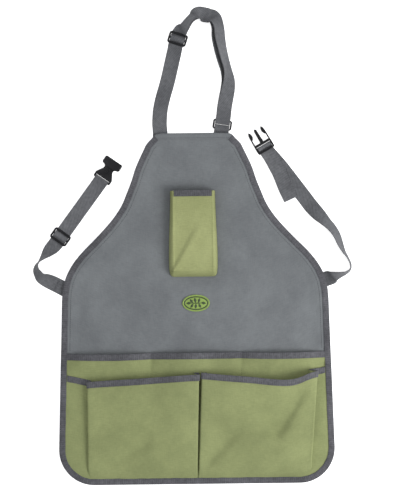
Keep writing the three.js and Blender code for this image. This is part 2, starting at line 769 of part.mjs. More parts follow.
// A place and a heading that a fitting is built round. Its own +Y runs along the webbing.
class Seat {
  constructor(x, y, headingDegrees) {
    this.x = x;
    this.y = y;
    this.heading = headingDegrees;
  }

  // The strap's station at a distance along the fitting and a height, at the fitting's own angle
  station(along, z, acrossTurn = 90) {
    const turn = radians(this.heading);
    return {
      x: this.x + Math.cos(turn) * along,
      y: this.y + Math.sin(turn) * along,
      z,
      across: this.heading + acrossTurn,
    };
  }

  place(solid) {
    return geometryOf(solid.rotate([0, 0, this.heading - 90]).translate([this.x, this.y, 0]));
  }
}

// Half a turn of webbing round a bar, from above it to below it
function turnRound(seat, barAlong, reach, acrossTurn, direction) {
  const centre = LOOP_RADIUS + WEB / 2;
  return [90, 45, 0, -45, -90].map((angle) => {
    const turn = radians(angle);
    const along = barAlong + direction * (reach + LOOP_RADIUS * Math.cos(turn));
    return seat.station(along, centre + LOOP_RADIUS * Math.sin(turn), acrossTurn);
  });
}

// Three-bar slider: its middle bar carries the webbing that passes over it
const SLIDER_LOW = 2 * (WEB + GAP);
const SLIDER_HIGH = SLIDER_LOW + SLIDER_THICKNESS;
const MIDDLE_LOW = WEB + 3 * GAP + 0.2;
const MIDDLE_HIGH = MIDDLE_LOW + SLIDER_MIDDLE_THICKNESS;

function roundedRectangle(halfWidth, halfLength, corner, steps) {
  const points = [];
  const quarters = [[1, -1, -90], [1, 1, 0], [-1, 1, 90], [-1, -1, 180]];
  for (const [sx, sy, start] of quarters) {
    for (let i = 0; i <= steps; i += 1) {
      const turn = radians(start + (90 * i) / steps);
      points.push(new THREE.Vector2(
        sx * (halfWidth - corner) + corner * Math.cos(turn),
        sy * (halfLength - corner) + corner * Math.sin(turn),
      ));
    }
  }
  return points;
}

function slider() {
  const inner = WEB_WIDTH / 2 + SIDE_PLAY;
  const outer = inner + SLIDER_RAIL;
  const frame = extruded(
    roundedRectangle(outer, SLIDER_LENGTH / 2, 4, 3), SLIDER_LOW, SLIDER_HIGH, SLIDER_THICKNESS * 0.25,
  );
  const opening = box(2 * inner, SLIDER_LENGTH - 2 * SLIDER_BAR, SLIDER_LOW - 1, SLIDER_HIGH + 1);
  const bar = box(2 * inner + SLIDER_RAIL, SLIDER_MIDDLE_BAR, MIDDLE_LOW, MIDDLE_HIGH);
  return frame.subtract(opening).add(bar);
}

// The webbing's way through a slider, from its single side to its doubled side
function throughSlider(seat) {
  const half = SLIDER_LENGTH / 2;
  const under = SLIDER_LOW - GAP - WEB / 2;
  const over = MIDDLE_HIGH + GAP + WEB / 2;
  const bar = SLIDER_MIDDLE_BAR / 2;
  return [
    seat.station(-half - 4, WEB_FLAT_Z + 0.6),
    seat.station(-half, under - 0.2),
    seat.station(-half + SLIDER_BAR + 0.4, under),
    seat.station(-bar - 0.2, over),
    seat.station(bar + 0.2, over),
    seat.station(half - SLIDER_BAR - 0.4, under),
    seat.station(half, under),
  ];
}

// Rectangular ring of round wire
function ringWire() {
  const half = WEB_WIDTH / 2 + SIDE_PLAY + BAR_RADIUS;
  const path = roundedRectangle(half, RING_LENGTH / 2 - BAR_RADIUS, 1.8, 3);
  const z = LOOP_RADIUS + WEB / 2;
  const count = path.length;
  const frames = path.map((point, i) => {
    const before = path[(i + count - 1) % count];
    const after = path[(i + 1) % count];
    const along = after.clone().sub(before).normalize();
    return {
      origin: new THREE.Vector3(point.x, point.y, z),
      a: new THREE.Vector3(along.y, -along.x, 0),
      b: upward,
    };
  });
  const section = [];
  for (let i = 0; i < 8; i += 1) {
    const turn = radians(45 * i + 22.5);
    section.push([BAR_RADIUS * Math.cos(turn), BAR_RADIUS * Math.sin(turn)]);
  }
  return solidOf(swept(frames, section, true));
}

// Neck strap

const neckPoint = (spread, reach) => ({
  x: NECK_ANCHOR_X + NECK_SPREAD * spread,
  y: TOP_Y + NECK_REACH * reach,
});
const neckSliderPlace = neckPoint(0.316, 0.784);
const NECK_SLIDER = new Seat(neckSliderPlace.x, neckSliderPlace.y, 72);
const RING_LEAN = -8.9;
const NECK_RING = new Seat(TAB_ANCHOR_X + 2.8, TOP_Y + RING_LENGTH / 2 + 4.9, 90 + RING_LEAN);
const RING_BAR = RING_LENGTH / 2 - BAR_RADIUS;

// The single leg: spread and reach are shares of the strap's own spread and reach
const NECK_LEG = [
  { spread: 0.000, reach: -0.062, across: 0 },
  { spread: 0.000, reach: 0.012, across: 0 },
  { spread: -0.008, reach: 0.090, across: -2 },
  { spread: 0.008, reach: 0.190, across: -6 },
  { spread: 0.052, reach: 0.290, across: -11 },
  { spread: 0.135, reach: 0.430, across: -14 },
  { spread: 0.212, reach: 0.585, across: -14 },
  { spread: 0.262, reach: 0.690, across: -17 },
];
// The doubled stretch from the slider over the top to the ring. apart is the space between its two
// layers beyond their own thickness.
const NECK_DOUBLE = [
  { spread: 0.402, reach: 0.866, across: -24, tilt: 40, apart: 0.4 },
  { spread: 0.480, reach: 0.899, across: -34, tilt: 57, apart: 1.0 },
  { spread: 0.541, reach: 0.942, across: -52, tilt: 54, apart: 1.5 },
  { spread: 0.608, reach: 0.976, across: -88, tilt: 30, apart: 1.5 },
  { spread: 0.712, reach: 0.985, across: -105, tilt: 8, apart: 1.2 },
  { spread: 0.820, reach: 0.978, across: -113, tilt: 6, apart: 1.2 },
  { spread: 0.920, reach: 0.960, across: -124, tilt: 20, apart: 2.0 },
  { spread: 0.990, reach: 0.920, across: -148, tilt: 42, apart: 3.5 },
  { spread: 1.024, reach: 0.862, across: -170, tilt: 46, apart: 5.0 },
  { spread: 1.036, reach: 0.790, across: -176, tilt: 46, apart: 6.5 },
  { spread: 1.068, reach: 0.702, across: -174, tilt: 52, apart: 7.0 },
  { spread: 1.117, reach: 0.602, across: -173, tilt: 56, apart: 7.0 },
  { spread: 1.166, reach: 0.510, across: -174, tilt: 56, apart: 6.0 },
  { spread: 1.180, reach: 0.430, across: -179, tilt: 40, apart: 4.0 },
  { spread: 1.160, reach: 0.355, across: -184, tilt: 20, apart: 2.2 },
  { spread: 1.130, reach: 0.290, across: -186, tilt: 6, apart: 1.2 },
  { spread: 1.100, reach: 0.215, across: -188, tilt: 0, apart: 0.8 },
];

function placed(table, place) {
  return table.map((row) => ({ ...row, ...place(row.spread, row.reach) }));
}

// Two layers along a doubled stretch: the lower one rests, the upper one lies above it
function doubledLayers(table, place) {
  const upper = placed(table, place).map((row) => {
    const rise = WEB + row.apart;
    return { ...row, above: rise * Math.cos(radians(row.tilt)) };
  });
  const lower = upper.map((row) => {
    const shift = (WEB + row.apart) * Math.sin(radians(row.tilt));
    const flat = radians(row.across);
    return { ...row, x: row.x + Math.cos(flat) * shift, y: row.y + Math.sin(flat) * shift, above: 0 };
  });
  return { upper, lower };
}

function neckStrap() {
  const leg = smoothed(placed(NECK_LEG, neckPoint), 2);
  const { upper, lower } = doubledLayers(NECK_DOUBLE, neckPoint);
  const top = LOOP_RADIUS * 2 + WEB / 2;
  const bar = turnRound(NECK_RING, RING_BAR, 0, 90, -1);
  const downAcross = (stations) => stations.map((row) => ({ ...row, across: NECK_RING.heading - 270 }));
  const sliderHeading = NECK_SLIDER.heading - 90;
  const through = throughSlider(NECK_SLIDER).map((row) => ({ ...row, across: sliderHeading }));
  const endUnder = [NECK_SLIDER.station(SLIDER_LENGTH / 2, WEB_FLAT_Z), NECK_SLIDER.station(0, WEB_FLAT_Z)]
    .map((row) => ({ ...row, across: sliderHeading }));
  return strap([
    ...leg,
    ...through,
    ...smoothed(upper, 2),
    ...downAcross([NECK_RING.station(RING_BAR + 9, top - 1), ...bar, NECK_RING.station(RING_BAR + 9, WEB_FLAT_Z)]),
    ...smoothed(lower, 2).toReversed(),
    ...endUnder,
  ]);
}

function neckTab() {
  const inside = TOP_Y - SEAM_MARGIN + 1;
  const run = (NECK_RING.y - inside) / Math.cos(radians(RING_LEAN));
  const bar = turnRound(NECK_RING, -RING_BAR, 0, 90, 1);
  const across = (row) => ({ ...row, across: RING_LEAN });
  return strap([
    NECK_RING.station(-RING_BAR - 4.3, WEB_SECOND_Z),
    NECK_RING.station(-RING_BAR - 2.3, WEB_SECOND_Z + 2.3),
    ...bar,
    NECK_RING.station(-run, WEB_FLAT_Z),
  ].map(across));
}

// Left waist strap, with its slider and the socket half of the buckle

const waistLeftPoint = (spread, reach) => ({
  x: -WAIST_HALF + WAIST_LEFT_SPREAD * spread,
  y: WAIST_LEFT_ANCHOR_Y + WAIST_LEFT_REACH * reach,
});
const waistSliderPlace = waistLeftPoint(-0.005, 0.420);
const WAIST_HEADING = 53.6;
const WAIST_SLIDER = new Seat(waistSliderPlace.x, waistSliderPlace.y, WAIST_HEADING);
const SLIDER_TO_SOCKET = 118;
const socketPlace = WAIST_SLIDER.station(SLIDER_TO_SOCKET, 0);
const SOCKET = new Seat(socketPlace.x, socketPlace.y, WAIST_HEADING + 1.5);

const WAIST_LEFT_LEG = [
  { spread: 0.062, reach: -0.025, across: 61.5, tilt: 0 },
  { spread: -0.002, reach: 0.009, across: 61.5, tilt: 0 },
  { spread: -0.070, reach: 0.045, across: 62, tilt: 0 },
  { spread: -0.135, reach: 0.077, across: 58, tilt: 26 },
  { spread: -0.172, reach: 0.103, across: 46, tilt: 46 },
  { spread: -0.194, reach: 0.143, across: 28, tilt: 54 },
  { spread: -0.196, reach: 0.184, across: 8, tilt: 68 },
  { spread: -0.178, reach: 0.220, across: -16, tilt: 80 },
  { spread: -0.146, reach: 0.255, across: -30, tilt: 66 },
  { spread: -0.113, reach: 0.287, across: -34, tilt: 44 },
  { spread: -0.076, reach: 0.330, across: -36, tilt: 14 },
];

function waistStrapLeft() {
  const leg = smoothed(placed(WAIST_LEFT_LEG, waistLeftPoint), 2);
  const across = (row) => ({ ...row, across: WAIST_HEADING - 90 });
  const through = throughSlider(WAIST_SLIDER).map(across);
  const half = SLIDER_LENGTH / 2;
  const far = (along, z) => across(WAIST_SLIDER.station(along, z));
  const turn = turnRound(SOCKET, BAR_RADIUS, 0, 90, 1)
    .map((row) => ({ ...row, across: SOCKET.heading - 90 }));
  return strap([
    ...leg,
    ...through,
    far(half + 6, WEB_SECOND_Z),
    far(SLIDER_TO_SOCKET * 0.4, WEB_SECOND_Z),
    far(SLIDER_TO_SOCKET * 0.7, WEB_SECOND_Z),
    far(SLIDER_TO_SOCKET - 10, WEB_SECOND_Z),
    ...turn,
    far(SLIDER_TO_SOCKET - 8, WEB_FLAT_Z),
    far(SLIDER_TO_SOCKET * 0.7, WEB_FLAT_Z),
    far(SLIDER_TO_SOCKET * 0.4, WEB_FLAT_Z),
    far(half + 6, WEB_FLAT_Z),
    far(0, WEB_FLAT_Z),
  ]);
}

// Socket half of the buckle. Half widths along it, as shares of its length and of its half width.
const SOCKET_OUTLINE = [
  { along: 0.00, half: 0.90 },
  { along: 0.03, half: 0.98 },
  { along: 0.19, half: 1.00 },
  { along: 0.28, half: 0.90 },
  { along: 0.50, half: 0.55 },
  { along: 0.60, half: 0.53 },
  { along: 0.65, half: 0.68 },
  { along: 0.68, half: 0.96 },
  { along: 0.74, half: 1.03 },
  { along: 0.94, half: 1.02 },
  { along: 1.00, half: 0.95 },
];
const SOCKET_CAVITY = 4.8;

function socketOutline(from, to, margin = 0) {
  const rows = SOCKET_OUTLINE.filter(({ along }) => along >= from && along <= to);
  const right = rows.map(({ along, half }) => (
    new THREE.Vector2(SOCKET_HALF_WIDTH * half - margin, SOCKET_LENGTH * along)
  ));
  const left = right.map((point) => new THREE.Vector2(-point.x, point.y)).toReversed();
  return [...right, ...left];
}

function buckleSocket() {
  const z = LOOP_RADIUS + WEB / 2;
  const slotEnd = 2 * BAR_RADIUS + WEB + 3 * GAP;
  const inner = WEB_WIDTH / 2 + SIDE_PLAY * 0.6;
  const middle = SOCKET_HEAD_THICKNESS / 2;
  const plate = extruded(socketOutline(0, 1), z - 2.1, z + 2.1, 0.7);
  const head = extruded(socketOutline(0.6, 1), 0, SOCKET_HEAD_THICKNESS, 1.2);
  const slot = box(2 * inner, slotEnd + 2, -1, SOCKET_HEAD_THICKNESS, 0, slotEnd / 2 - 1);
  const bar = solidOf(new THREE.CylinderGeometry(BAR_RADIUS, BAR_RADIUS, 2 * inner + 1, 8, 1)
    .rotateY(Math.PI / 8).rotateZ(Math.PI / 2).translate(0, BAR_RADIUS, z));
  const cavityLength = SOCKET_LENGTH * 0.36;
  const cavity = box(
    2 * (SOCKET_HALF_WIDTH - 3.4), cavityLength + 2, middle - SOCKET_CAVITY / 2, middle + SOCKET_CAVITY / 2,
    0, SOCKET_LENGTH - cavityLength / 2 + 1,
  );
  const windows = box(
    3 * SOCKET_HALF_WIDTH, SOCKET_LENGTH * 0.17, middle - SOCKET_CAVITY / 2 + 0.2,
    middle + SOCKET_CAVITY / 2 - 0.2, 0, SOCKET_LENGTH * 0.80,
  );
  const body = plate.add(head).subtract(slot).add(bar).subtract(cavity).subtract(windows);
  return SOCKET.place(body);
}

// Right waist strap, with the plug half of the buckle and the free tail

const waistRightPoint = (spread, reach) => ({
  x: WAIST_HALF + WAIST_RIGHT_SPREAD * spread,
  y: WAIST_RIGHT_ANCHOR_Y + WAIST_RIGHT_REACH * reach,
});
const plugPlace = waistRightPoint(-0.425, 0.914);
const PLUG = new Seat(plugPlace.x, plugPlace.y, 120);

const WAIST_RIGHT_LEG = [
  { spread: -0.058, reach: -0.014, across: 101, tilt: 0 },
  { spread: -0.014, reach: 0.003, across: 101, tilt: 0 },
  { spread: 0.010, reach: 0.011, across: 102, tilt: 14 },
  { spread: 0.036, reach: 0.020, across: 104, tilt: 44 },
  { spread: 0.077, reach: 0.031, across: 108, tilt: 64 },
  { spread: 0.120, reach: 0.044, across: 120, tilt: 76 },
  { spread: 0.150, reach: 0.068, across: 150, tilt: 80 },
  { spread: 0.155, reach: 0.104, across: 182, tilt: 80 },
  { spread: 0.136, reach: 0.150, across: 196, tilt: 80 },
  { spread: 0.108, reach: 0.195, across: 194, tilt: 73 },
  { spread: 0.084, reach: 0.250, across: 192, tilt: 62 },
  { spread: 0.060, reach: 0.312, across: 196, tilt: 56 },
  { spread: 0.024, reach: 0.366, across: 204, tilt: 50 },
  { spread: -0.018, reach: 0.410, across: 214, tilt: 42 },
  { spread: -0.070, reach: 0.465, across: 216, tilt: 16 },
  { spread: -0.120, reach: 0.524, across: 215, tilt: 0 },
  { spread: -0.170, reach: 0.592, across: 215, tilt: 0 },
  { spread: -0.246, reach: 0.692, across: 216, tilt: 0 },
  { spread: -0.326, reach: 0.798, across: 215, tilt: 0 },
  { spread: -0.385, reach: 0.868, across: 212, tilt: 0 },
];
// The free tail on top of the strap
const TAIL = [
  { spread: -0.392, reach: 0.862, across: 213 },
  { spread: -0.366, reach: 0.812, across: 209 },
  { spread: -0.340, reach: 0.762, across: 205 },
  { spread: -0.318, reach: 0.708, across: 204 },
  { spread: -0.296, reach: 0.651, across: 206 },
  { spread: -0.258, reach: 0.568, across: 213 },
];

const PLUG_BASE = 17;
const PLUG_END_BAR = 3.6;
const PLUG_MIDDLE_START = 7.0;
const PLUG_MIDDLE_END = 10.5;
const PLUG_FRONT_START = 12.75;
const PLUG_LOW = 2 * (WEB + GAP);
const PLUG_HIGH = PLUG_LOW + 2.7;
const PLUG_MIDDLE_RADIUS = 1.25;
const PLUG_MIDDLE_Z = WEB + GAP + PLUG_MIDDLE_RADIUS;

function waistStrapRight() {
  const leg = smoothed(placed(WAIST_RIGHT_LEG, waistRightPoint), 2);
  const radius = PLUG_MIDDLE_RADIUS + GAP + WEB / 2;
  const front = PLUG_MIDDLE_END - PLUG_MIDDLE_RADIUS;
  const turn = [-90, -45, 0, 45, 90].map((angle) => {
    const at = radians(angle);
    return PLUG.station(front + radius * Math.cos(at), PLUG_MIDDLE_Z + radius * Math.sin(at));
  });
  const over = PLUG_MIDDLE_Z + radius;
  const under = PLUG_LOW - GAP - WEB / 2;
  const tail = smoothed(placed(TAIL, waistRightPoint), 1)
    .map((row) => ({ ...row, above: WEB + GAP }));
  return strap([
    ...leg,
    PLUG.station(0, WEB_FLAT_Z),
    ...turn,
    PLUG.station(PLUG_MIDDLE_START + 0.4, over),
    PLUG.station(PLUG_END_BAR + 0.3, under),
    PLUG.station(-0.5, under),
    ...tail,
  ]);
}

// Prong shapes on one side: across from the buckle's middle and along from its base, in shares of
// the buckle's half width and of the prong's length
const OUTER_PRONG = [
  { across: 0.99, along: -0.08 },
  { across: 0.97, along: 0.42 },
  { across: 0.97, along: 0.62 },
  { across: 0.93, along: 0.84 },
  { across: 0.82, along: 1.00 },
  { across: 0.72, along: 1.01 },
  { across: 0.60, along: 0.86 },
  { across: 0.56, along: 0.64 },
  { across: 0.70, along: 0.46 },
  { across: 0.82, along: 0.38 },
  { across: 0.84, along: -0.08 },
];
const MIDDLE_PRONG = [
  { across: 0.20, along: -0.08 },
  { across: 0.16, along: 0.90 },
  { across: 0.08, along: 1.03 },
  { across: -0.08, along: 1.03 },
  { across: -0.16, along: 0.90 },
  { across: -0.20, along: -0.08 },
];

function prong(rows, side) {
  const points = rows.map(({ across, along }) => (
    new THREE.Vector2(side * PLUG_HALF_WIDTH * across, PLUG_BASE + PRONG_LENGTH * along)
  ));
  const turned = side > 0 ? points : points.toReversed();
  return extruded(turned, PLUG_LOW - 0.6, PLUG_HIGH - 0.5, 0.5);
}

function bucklePlug() {
  const inner = WEB_WIDTH / 2 + SIDE_PLAY * 0.6;
  const outline = roundedRectangle(PLUG_HALF_WIDTH, PLUG_BASE / 2, 2, 2)
    .map((point) => new THREE.Vector2(point.x, point.y + PLUG_BASE / 2));
  const frame = extruded(outline, PLUG_LOW, PLUG_HIGH, 0.5);
  const opening = box(
    2 * inner, PLUG_FRONT_START - PLUG_END_BAR, PLUG_LOW - 1, PLUG_HIGH + 1,
    0, (PLUG_FRONT_START + PLUG_END_BAR) / 2,
  );
  const rails = [-1, 1].map((side) => box(
    PLUG_HALF_WIDTH - inner - 0.6, PLUG_BASE - 3, PLUG_MIDDLE_Z - PLUG_MIDDLE_RADIUS, PLUG_LOW + 1,
    side * (PLUG_HALF_WIDTH + inner - 0.6) / 2, PLUG_BASE / 2,
  ));
  const r = PLUG_MIDDLE_RADIUS;
  const stadium = [];
  for (const [along, start] of [[PLUG_MIDDLE_END - r, -90], [PLUG_MIDDLE_START + r, 90]]) {
    for (let i = 0; i <= 3; i += 1) {
      const turn = radians(start + 60 * i);
      stadium.push(new THREE.Vector2(along + r * Math.cos(turn), PLUG_MIDDLE_Z + r * Math.sin(turn)));
    }
  }
  const frames = [-1, 1].map((side) => ({
    origin: new THREE.Vector3(side * (inner + 0.5), 0, 0),
    a: new THREE.Vector3(0, 1, 0),
    b: upward,
  }));
  const middle = solidOf(swept(frames, stadium.map((point) => [point.x, point.y])));
  let body = frame.subtract(opening).add(middle);
  for (const rail of rails) body = body.add(rail);
  for (const side of [-1, 1]) body = body.add(prong(OUTER_PRONG, side));
  return PLUG.place(body.add(prong(MIDDLE_PRONG, 1)));
}

// Assembly

const apron = new THREE.Group();

function add(name, geometry, color, roughness) {
  const material = new THREE.MeshStandardMaterial({ color, roughness, metalness: 0 });
  const mesh = new THREE.Mesh(geometry, material);
  mesh.name = name;
  apron.add(mesh);
}

const holster = holsterGrid();
const tool = toolGrid();
const frontLeft = frontGrid(FRONT_LEFT, FRONT_LEFT_DEPTH, -1, leftSag);
const frontRight = frontGrid(FRONT_RIGHT, FRONT_RIGHT_DEPTH, 1, rightSag);

const CLOTH_ROUGHNESS = 0.85;
const PLASTIC_ROUGHNESS = 0.45;

add('body_panel', bodyPanel(), COLORS.panel, CLOTH_ROUGHNESS);
add('edge_binding', edgeBinding(), COLORS.tape, CLOTH_ROUGHNESS);
add('bib_hem', bibHem(), COLORS.panel, CLOTH_ROUGHNESS);
add('holster_pocket', clothWall(holster, CLOTH), COLORS.green, CLOTH_ROUGHNESS);
add('holster_binding', mouthTape(holster, 2, 9, MOUTH_TAPE_WIDTH), COLORS.tape, CLOTH_ROUGHNESS);
add('emblem_patch', emblemPatch(), COLORS.patch, CLOTH_ROUGHNESS);
add('tool_pocket', clothWall(tool, CLOTH, true), COLORS.green, CLOTH_ROUGHNESS);
add('tool_pocket_binding', mouthTape(tool, 1, tool[0].length - 2, MOUTH_TAPE_WIDTH), COLORS.tape,
  CLOTH_ROUGHNESS);
add('front_pocket_left', clothWall(frontLeft, CLOTH), COLORS.green, CLOTH_ROUGHNESS);
add('front_pocket_left_binding', mouthTape(frontLeft, 1, 12, MOUTH_TAPE_WIDTH), COLORS.tape,
  CLOTH_ROUGHNESS);
add('front_pocket_right', clothWall(frontRight, CLOTH), COLORS.green, CLOTH_ROUGHNESS);
add('front_pocket_right_binding', mouthTape(frontRight, 1, 14, MOUTH_TAPE_WIDTH), COLORS.tape,
  CLOTH_ROUGHNESS);
add('neck_strap', neckStrap(), COLORS.webbing, CLOTH_ROUGHNESS);
add('neck_slider', NECK_SLIDER.place(slider()), COLORS.plastic, PLASTIC_ROUGHNESS);
add('neck_ring', NECK_RING.place(ringWire()), COLORS.plastic, PLASTIC_ROUGHNESS);
add('neck_tab', neckTab(), COLORS.webbing, CLOTH_ROUGHNESS);
add('waist_strap_left', waistStrapLeft(), COLORS.webbing, CLOTH_ROUGHNESS);
add('waist_slider', WAIST_SLIDER.place(slider()), COLORS.plastic, PLASTIC_ROUGHNESS);
add('buckle_socket', buckleSocket(), COLORS.plastic, PLASTIC_ROUGHNESS);
add('waist_strap_right', waistStrapRight(), COLORS.webbing, CLOTH_ROUGHNESS);
add('buckle_plug', bucklePlug(), COLORS.plastic, PLASTIC_ROUGHNESS);

export default apron;
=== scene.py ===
"""Gardening apron laid out on its back: cloth, binding tape, webbing and moulded buckles.

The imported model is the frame. Cloth, tape and webbing are rebuilt over it as smooth woven walls
with their stitching, and the moulded fittings are rounded off. Lengths are in millimetres, and one
factor turns them into Blender's metres.
"""

import logging
import math
from dataclasses import dataclass, field, replace
from enum import Enum
from typing import Any, NamedTuple, Sequence

import bpy
import numpy as np
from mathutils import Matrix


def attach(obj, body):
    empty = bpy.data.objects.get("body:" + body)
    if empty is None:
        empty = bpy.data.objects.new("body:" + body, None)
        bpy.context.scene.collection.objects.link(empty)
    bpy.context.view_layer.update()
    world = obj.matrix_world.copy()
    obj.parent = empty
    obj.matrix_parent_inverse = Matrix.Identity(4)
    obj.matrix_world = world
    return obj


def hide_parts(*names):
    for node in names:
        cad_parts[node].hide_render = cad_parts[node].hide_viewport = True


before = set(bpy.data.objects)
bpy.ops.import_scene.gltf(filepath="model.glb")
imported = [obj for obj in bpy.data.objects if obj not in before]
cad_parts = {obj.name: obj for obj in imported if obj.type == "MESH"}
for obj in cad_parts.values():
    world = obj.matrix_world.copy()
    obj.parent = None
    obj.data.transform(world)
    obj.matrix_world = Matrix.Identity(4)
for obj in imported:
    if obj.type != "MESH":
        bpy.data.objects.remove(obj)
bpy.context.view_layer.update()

log = logging.getLogger("apron")

MM = 0.001
UV_NAME = "cloth"
Grid = np.ndarray
Piece = bpy.types.Object
Material = bpy.types.Material


class Slot(Enum):
    """The record's material slots."""

    PANEL = "panel_cloth"
    POCKET = "pocket_cloth"
    TAPE = "binding_tape"
    WEBBING = "webbing"
    PLASTIC = "black_plastic"
    PATCH = "patch"


class Side(Enum):
    """Which half of the apron a piece is on, as the sign of its X."""

    LEFT = -1
    RIGHT = 1


class Fold(Enum):
    """What a column of a front pocket is in its pleats."""

    GUSSET = "gusset"
    VALLEY = "valley"
    FOLD = "fold"
    FACE = "face"
    SEAM = "seam"


# Sizes and tables


@dataclass(frozen=True)
class Stock:
    """Thicknesses and widths of what the apron is cut from."""

    cloth: float = 1.0
    tape: float = 1.0
    tape_width: float = 10.5
    web_width: float = 25.0
    web: float = 1.2
    gap: float = 0.3


STOCK = Stock()
TOP_Y = 260.0
HEM_Y = -336.0
TOOL_MOUTH_Y = -114.0
FRONT_MOUTH_Y = -147.0
TOOL_DIVISION_X = 77.0
TOOL_DEPTH = 11.0
WAIST_LEFT_ANCHOR_Y = -2.0
WAIST_RIGHT_ANCHOR_Y = 9.0
WAIST_LEFT_ANGLE = 61.5
BIB_HALF = 66.0
WAIST_HALF = 226.5
ARMHOLE_WIDTH = WAIST_HALF - BIB_HALF
UNDER_BINDING = 2.4
PATCH_X = 1.4
PATCH_Y = -29.0
GRID_SOFTNESS = 0.25
THREAD_SUNK = 0.15


class ArmholeRow(NamedTuple):
    """A point of the armhole: fall along the bib, spread towards the waist, both as shares."""

    fall: float
    spread: float


ARMHOLE = tuple(ArmholeRow(*row) for row in (
    (0.009, -0.005),
    (0.031, 0.030),
    (0.064, 0.086),
    (0.104, 0.122),
    (0.155, 0.166),
    (0.210, 0.208),
    (0.282, 0.250),
    (0.352, 0.299),
    (0.425, 0.354),
    (0.497, 0.436),
    (0.568, 0.542),
    (0.640, 0.664),
    (0.712, 0.790),
    (0.784, 0.890),
    (0.856, 0.955),
    (0.928, 0.988),
    (1.000, 1.000),
))


class HolsterColumn(NamedTuple):
    """A line down the holster: its place across and its rise, as shares of width and depth."""

    across: float
    rise: float


class HolsterRow(NamedTuple):
    """A line across the holster: its place down, its rise, and how far its sides are drawn in."""

    down: float
    rise: float
    tuck: float


HOLSTER_COLUMNS = tuple(HolsterColumn(*row) for row in (
    (0.000, 0.00),
    (0.006, 0.30),
    (0.020, 0.66),
    (0.050, 0.95),
    (0.075, 1.01),
    (0.120, 1.01),
    (0.260, 1.02),
    (0.420, 1.04),
    (0.580, 1.04),
    (0.740, 1.02),
    (0.890, 1.01),
    (0.935, 0.99),
    (0.962, 0.90),
    (0.985, 0.62),
    (0.995, 0.28),
    (1.000, 0.00),
))
HOLSTER_ROWS = tuple(HolsterRow(*row) for row in (
    (0.000, 1.00, 0.030),
    (0.090, 1.00, 0.030),
    (0.260, 0.97, 0.020),
    (0.430, 0.95, 0.008),
    (0.600, 0.92, -0.004),
    (0.760, 0.88, -0.010),
    (0.880, 0.85, -0.008),
    (0.925, 0.82, -0.003),
    (0.955, 0.68, 0.004),
    (0.978, 0.42, 0.018),
    (0.992, 0.18, 0.040),
    (1.000, 0.00, 0.070),
))


class FrontColumn(NamedTuple):
    """A line down a front pocket: its X at the mouth and the hem as shares of the apron's half
    width, how far the mouth hangs there as a share of the pocket's length, and its rise."""

    kind: Fold
    top: float
    foot: float
    drop: float
    rise: float


FRONT_LEFT = tuple(FrontColumn(*row) for row in (
    (Fold.GUSSET, -0.870, -0.850, 0.035, 0.22),
    (Fold.VALLEY, -0.757, -0.794, 0.066, 0.34),
    (Fold.FOLD, -0.787, -0.789, 0.076, 0.80),
    (Fold.FACE, -0.752, -0.760, 0.070, 0.93),
    (Fold.FACE, -0.620, -0.620, 0.060, 1.00),
    (Fold.FACE, -0.460, -0.460, 0.050, 1.02),
    (Fold.FACE, -0.300, -0.300, 0.038, 1.02),
    (Fold.FACE, -0.150, -0.155, 0.027, 1.00),
    (Fold.FACE, -0.045, -0.045, 0.020, 0.97),
    (Fold.FOLD, 0.026, -0.002, 0.018, 0.88),
    (Fold.VALLEY, -0.018, -0.006, 0.006, 0.44),
    (Fold.SEAM, 0.020, 0.001, 0.003, 0.00),
))
FRONT_RIGHT = tuple(FrontColumn(*row) for row in (
    (Fold.SEAM, 0.040, 0.010, 0.003, 0.00),
    (Fold.VALLEY, 0.080, 0.014, 0.004, 0.40),
    (Fold.FOLD, 0.040, 0.012, 0.002, 0.66),
    (Fold.FACE, 0.100, 0.060, 0.008, 0.76),
    (Fold.FACE, 0.240, 0.220, 0.024, 0.90),
    (Fold.FACE, 0.400, 0.390, 0.040, 1.00),
    (Fold.FACE, 0.550, 0.540, 0.062, 1.05),
    (Fold.FACE, 0.670, 0.660, 0.068, 1.03),
    (Fold.FACE, 0.745, 0.718, 0.050, 0.97),
    (Fold.FACE, 0.800, 0.765, 0.022, 0.90),
    (Fold.FACE, 0.848, 0.793, 0.002, 0.84),
    (Fold.FOLD, 0.880, 0.817, -0.006, 0.80),
    (Fold.VALLEY, 0.814, 0.824, -0.014, 0.29),
    (Fold.GUSSET, 0.900, 0.866, -0.026, 0.13),
))
FRONT_ROW_SHARES = (0.00, 0.11, 0.30, 0.52, 0.76)
FRONT_ROW_RISES = (1.00, 0.99, 0.93, 0.86, 0.78, 0.70, 0.62, 0.52, 0.00, 0.00)
LEFT_EDGE_DROPS = (0.004, 0.018)
RIGHT_EDGE_DROPS = (-0.042, -0.036)


class Valley(NamedTuple):
    """A soft valley in a pocket's face: its two ends, its depth, and its width on either side of
    the line from the first end to the second, in millimetres."""

    start: tuple[float, float]
    end: tuple[float, float]
    depth: float
    left_width: float
    right_width: float


DENTS = {
    Side.LEFT: (
        Valley((-161.0, -312.0), (-80.0, -260.0), 3.8, 9.0, 26.0),
    ),
    Side.RIGHT: (
        Valley((135.0, -254.0), (94.0, -241.0), 4.6, 26.0, 8.0),
        Valley((94.0, -241.0), (62.0, -250.0), 3.4, 26.0, 8.0),
        Valley((62.0, -250.0), (14.0, -303.0), 5.4, 26.0, 9.0),
        Valley((179.0, -180.0), (135.0, -254.0), 5.8, 26.0, 9.0),
        Valley((200.0, -283.0), (122.0, -316.0), 2.4, 16.0, 12.0),
    ),
}


@dataclass(frozen=True)
class StrapWay:
    """Where a strap leaves the apron, and how many millimetres its shares stand for."""

    x: float
    y: float
    spread: float
    reach: float

    def place(self, spread: float, reach: float) -> tuple[float, float]:
        """X and Y of a place along the strap, from its two shares."""
        return self.x + self.spread * spread, self.y + self.reach * reach


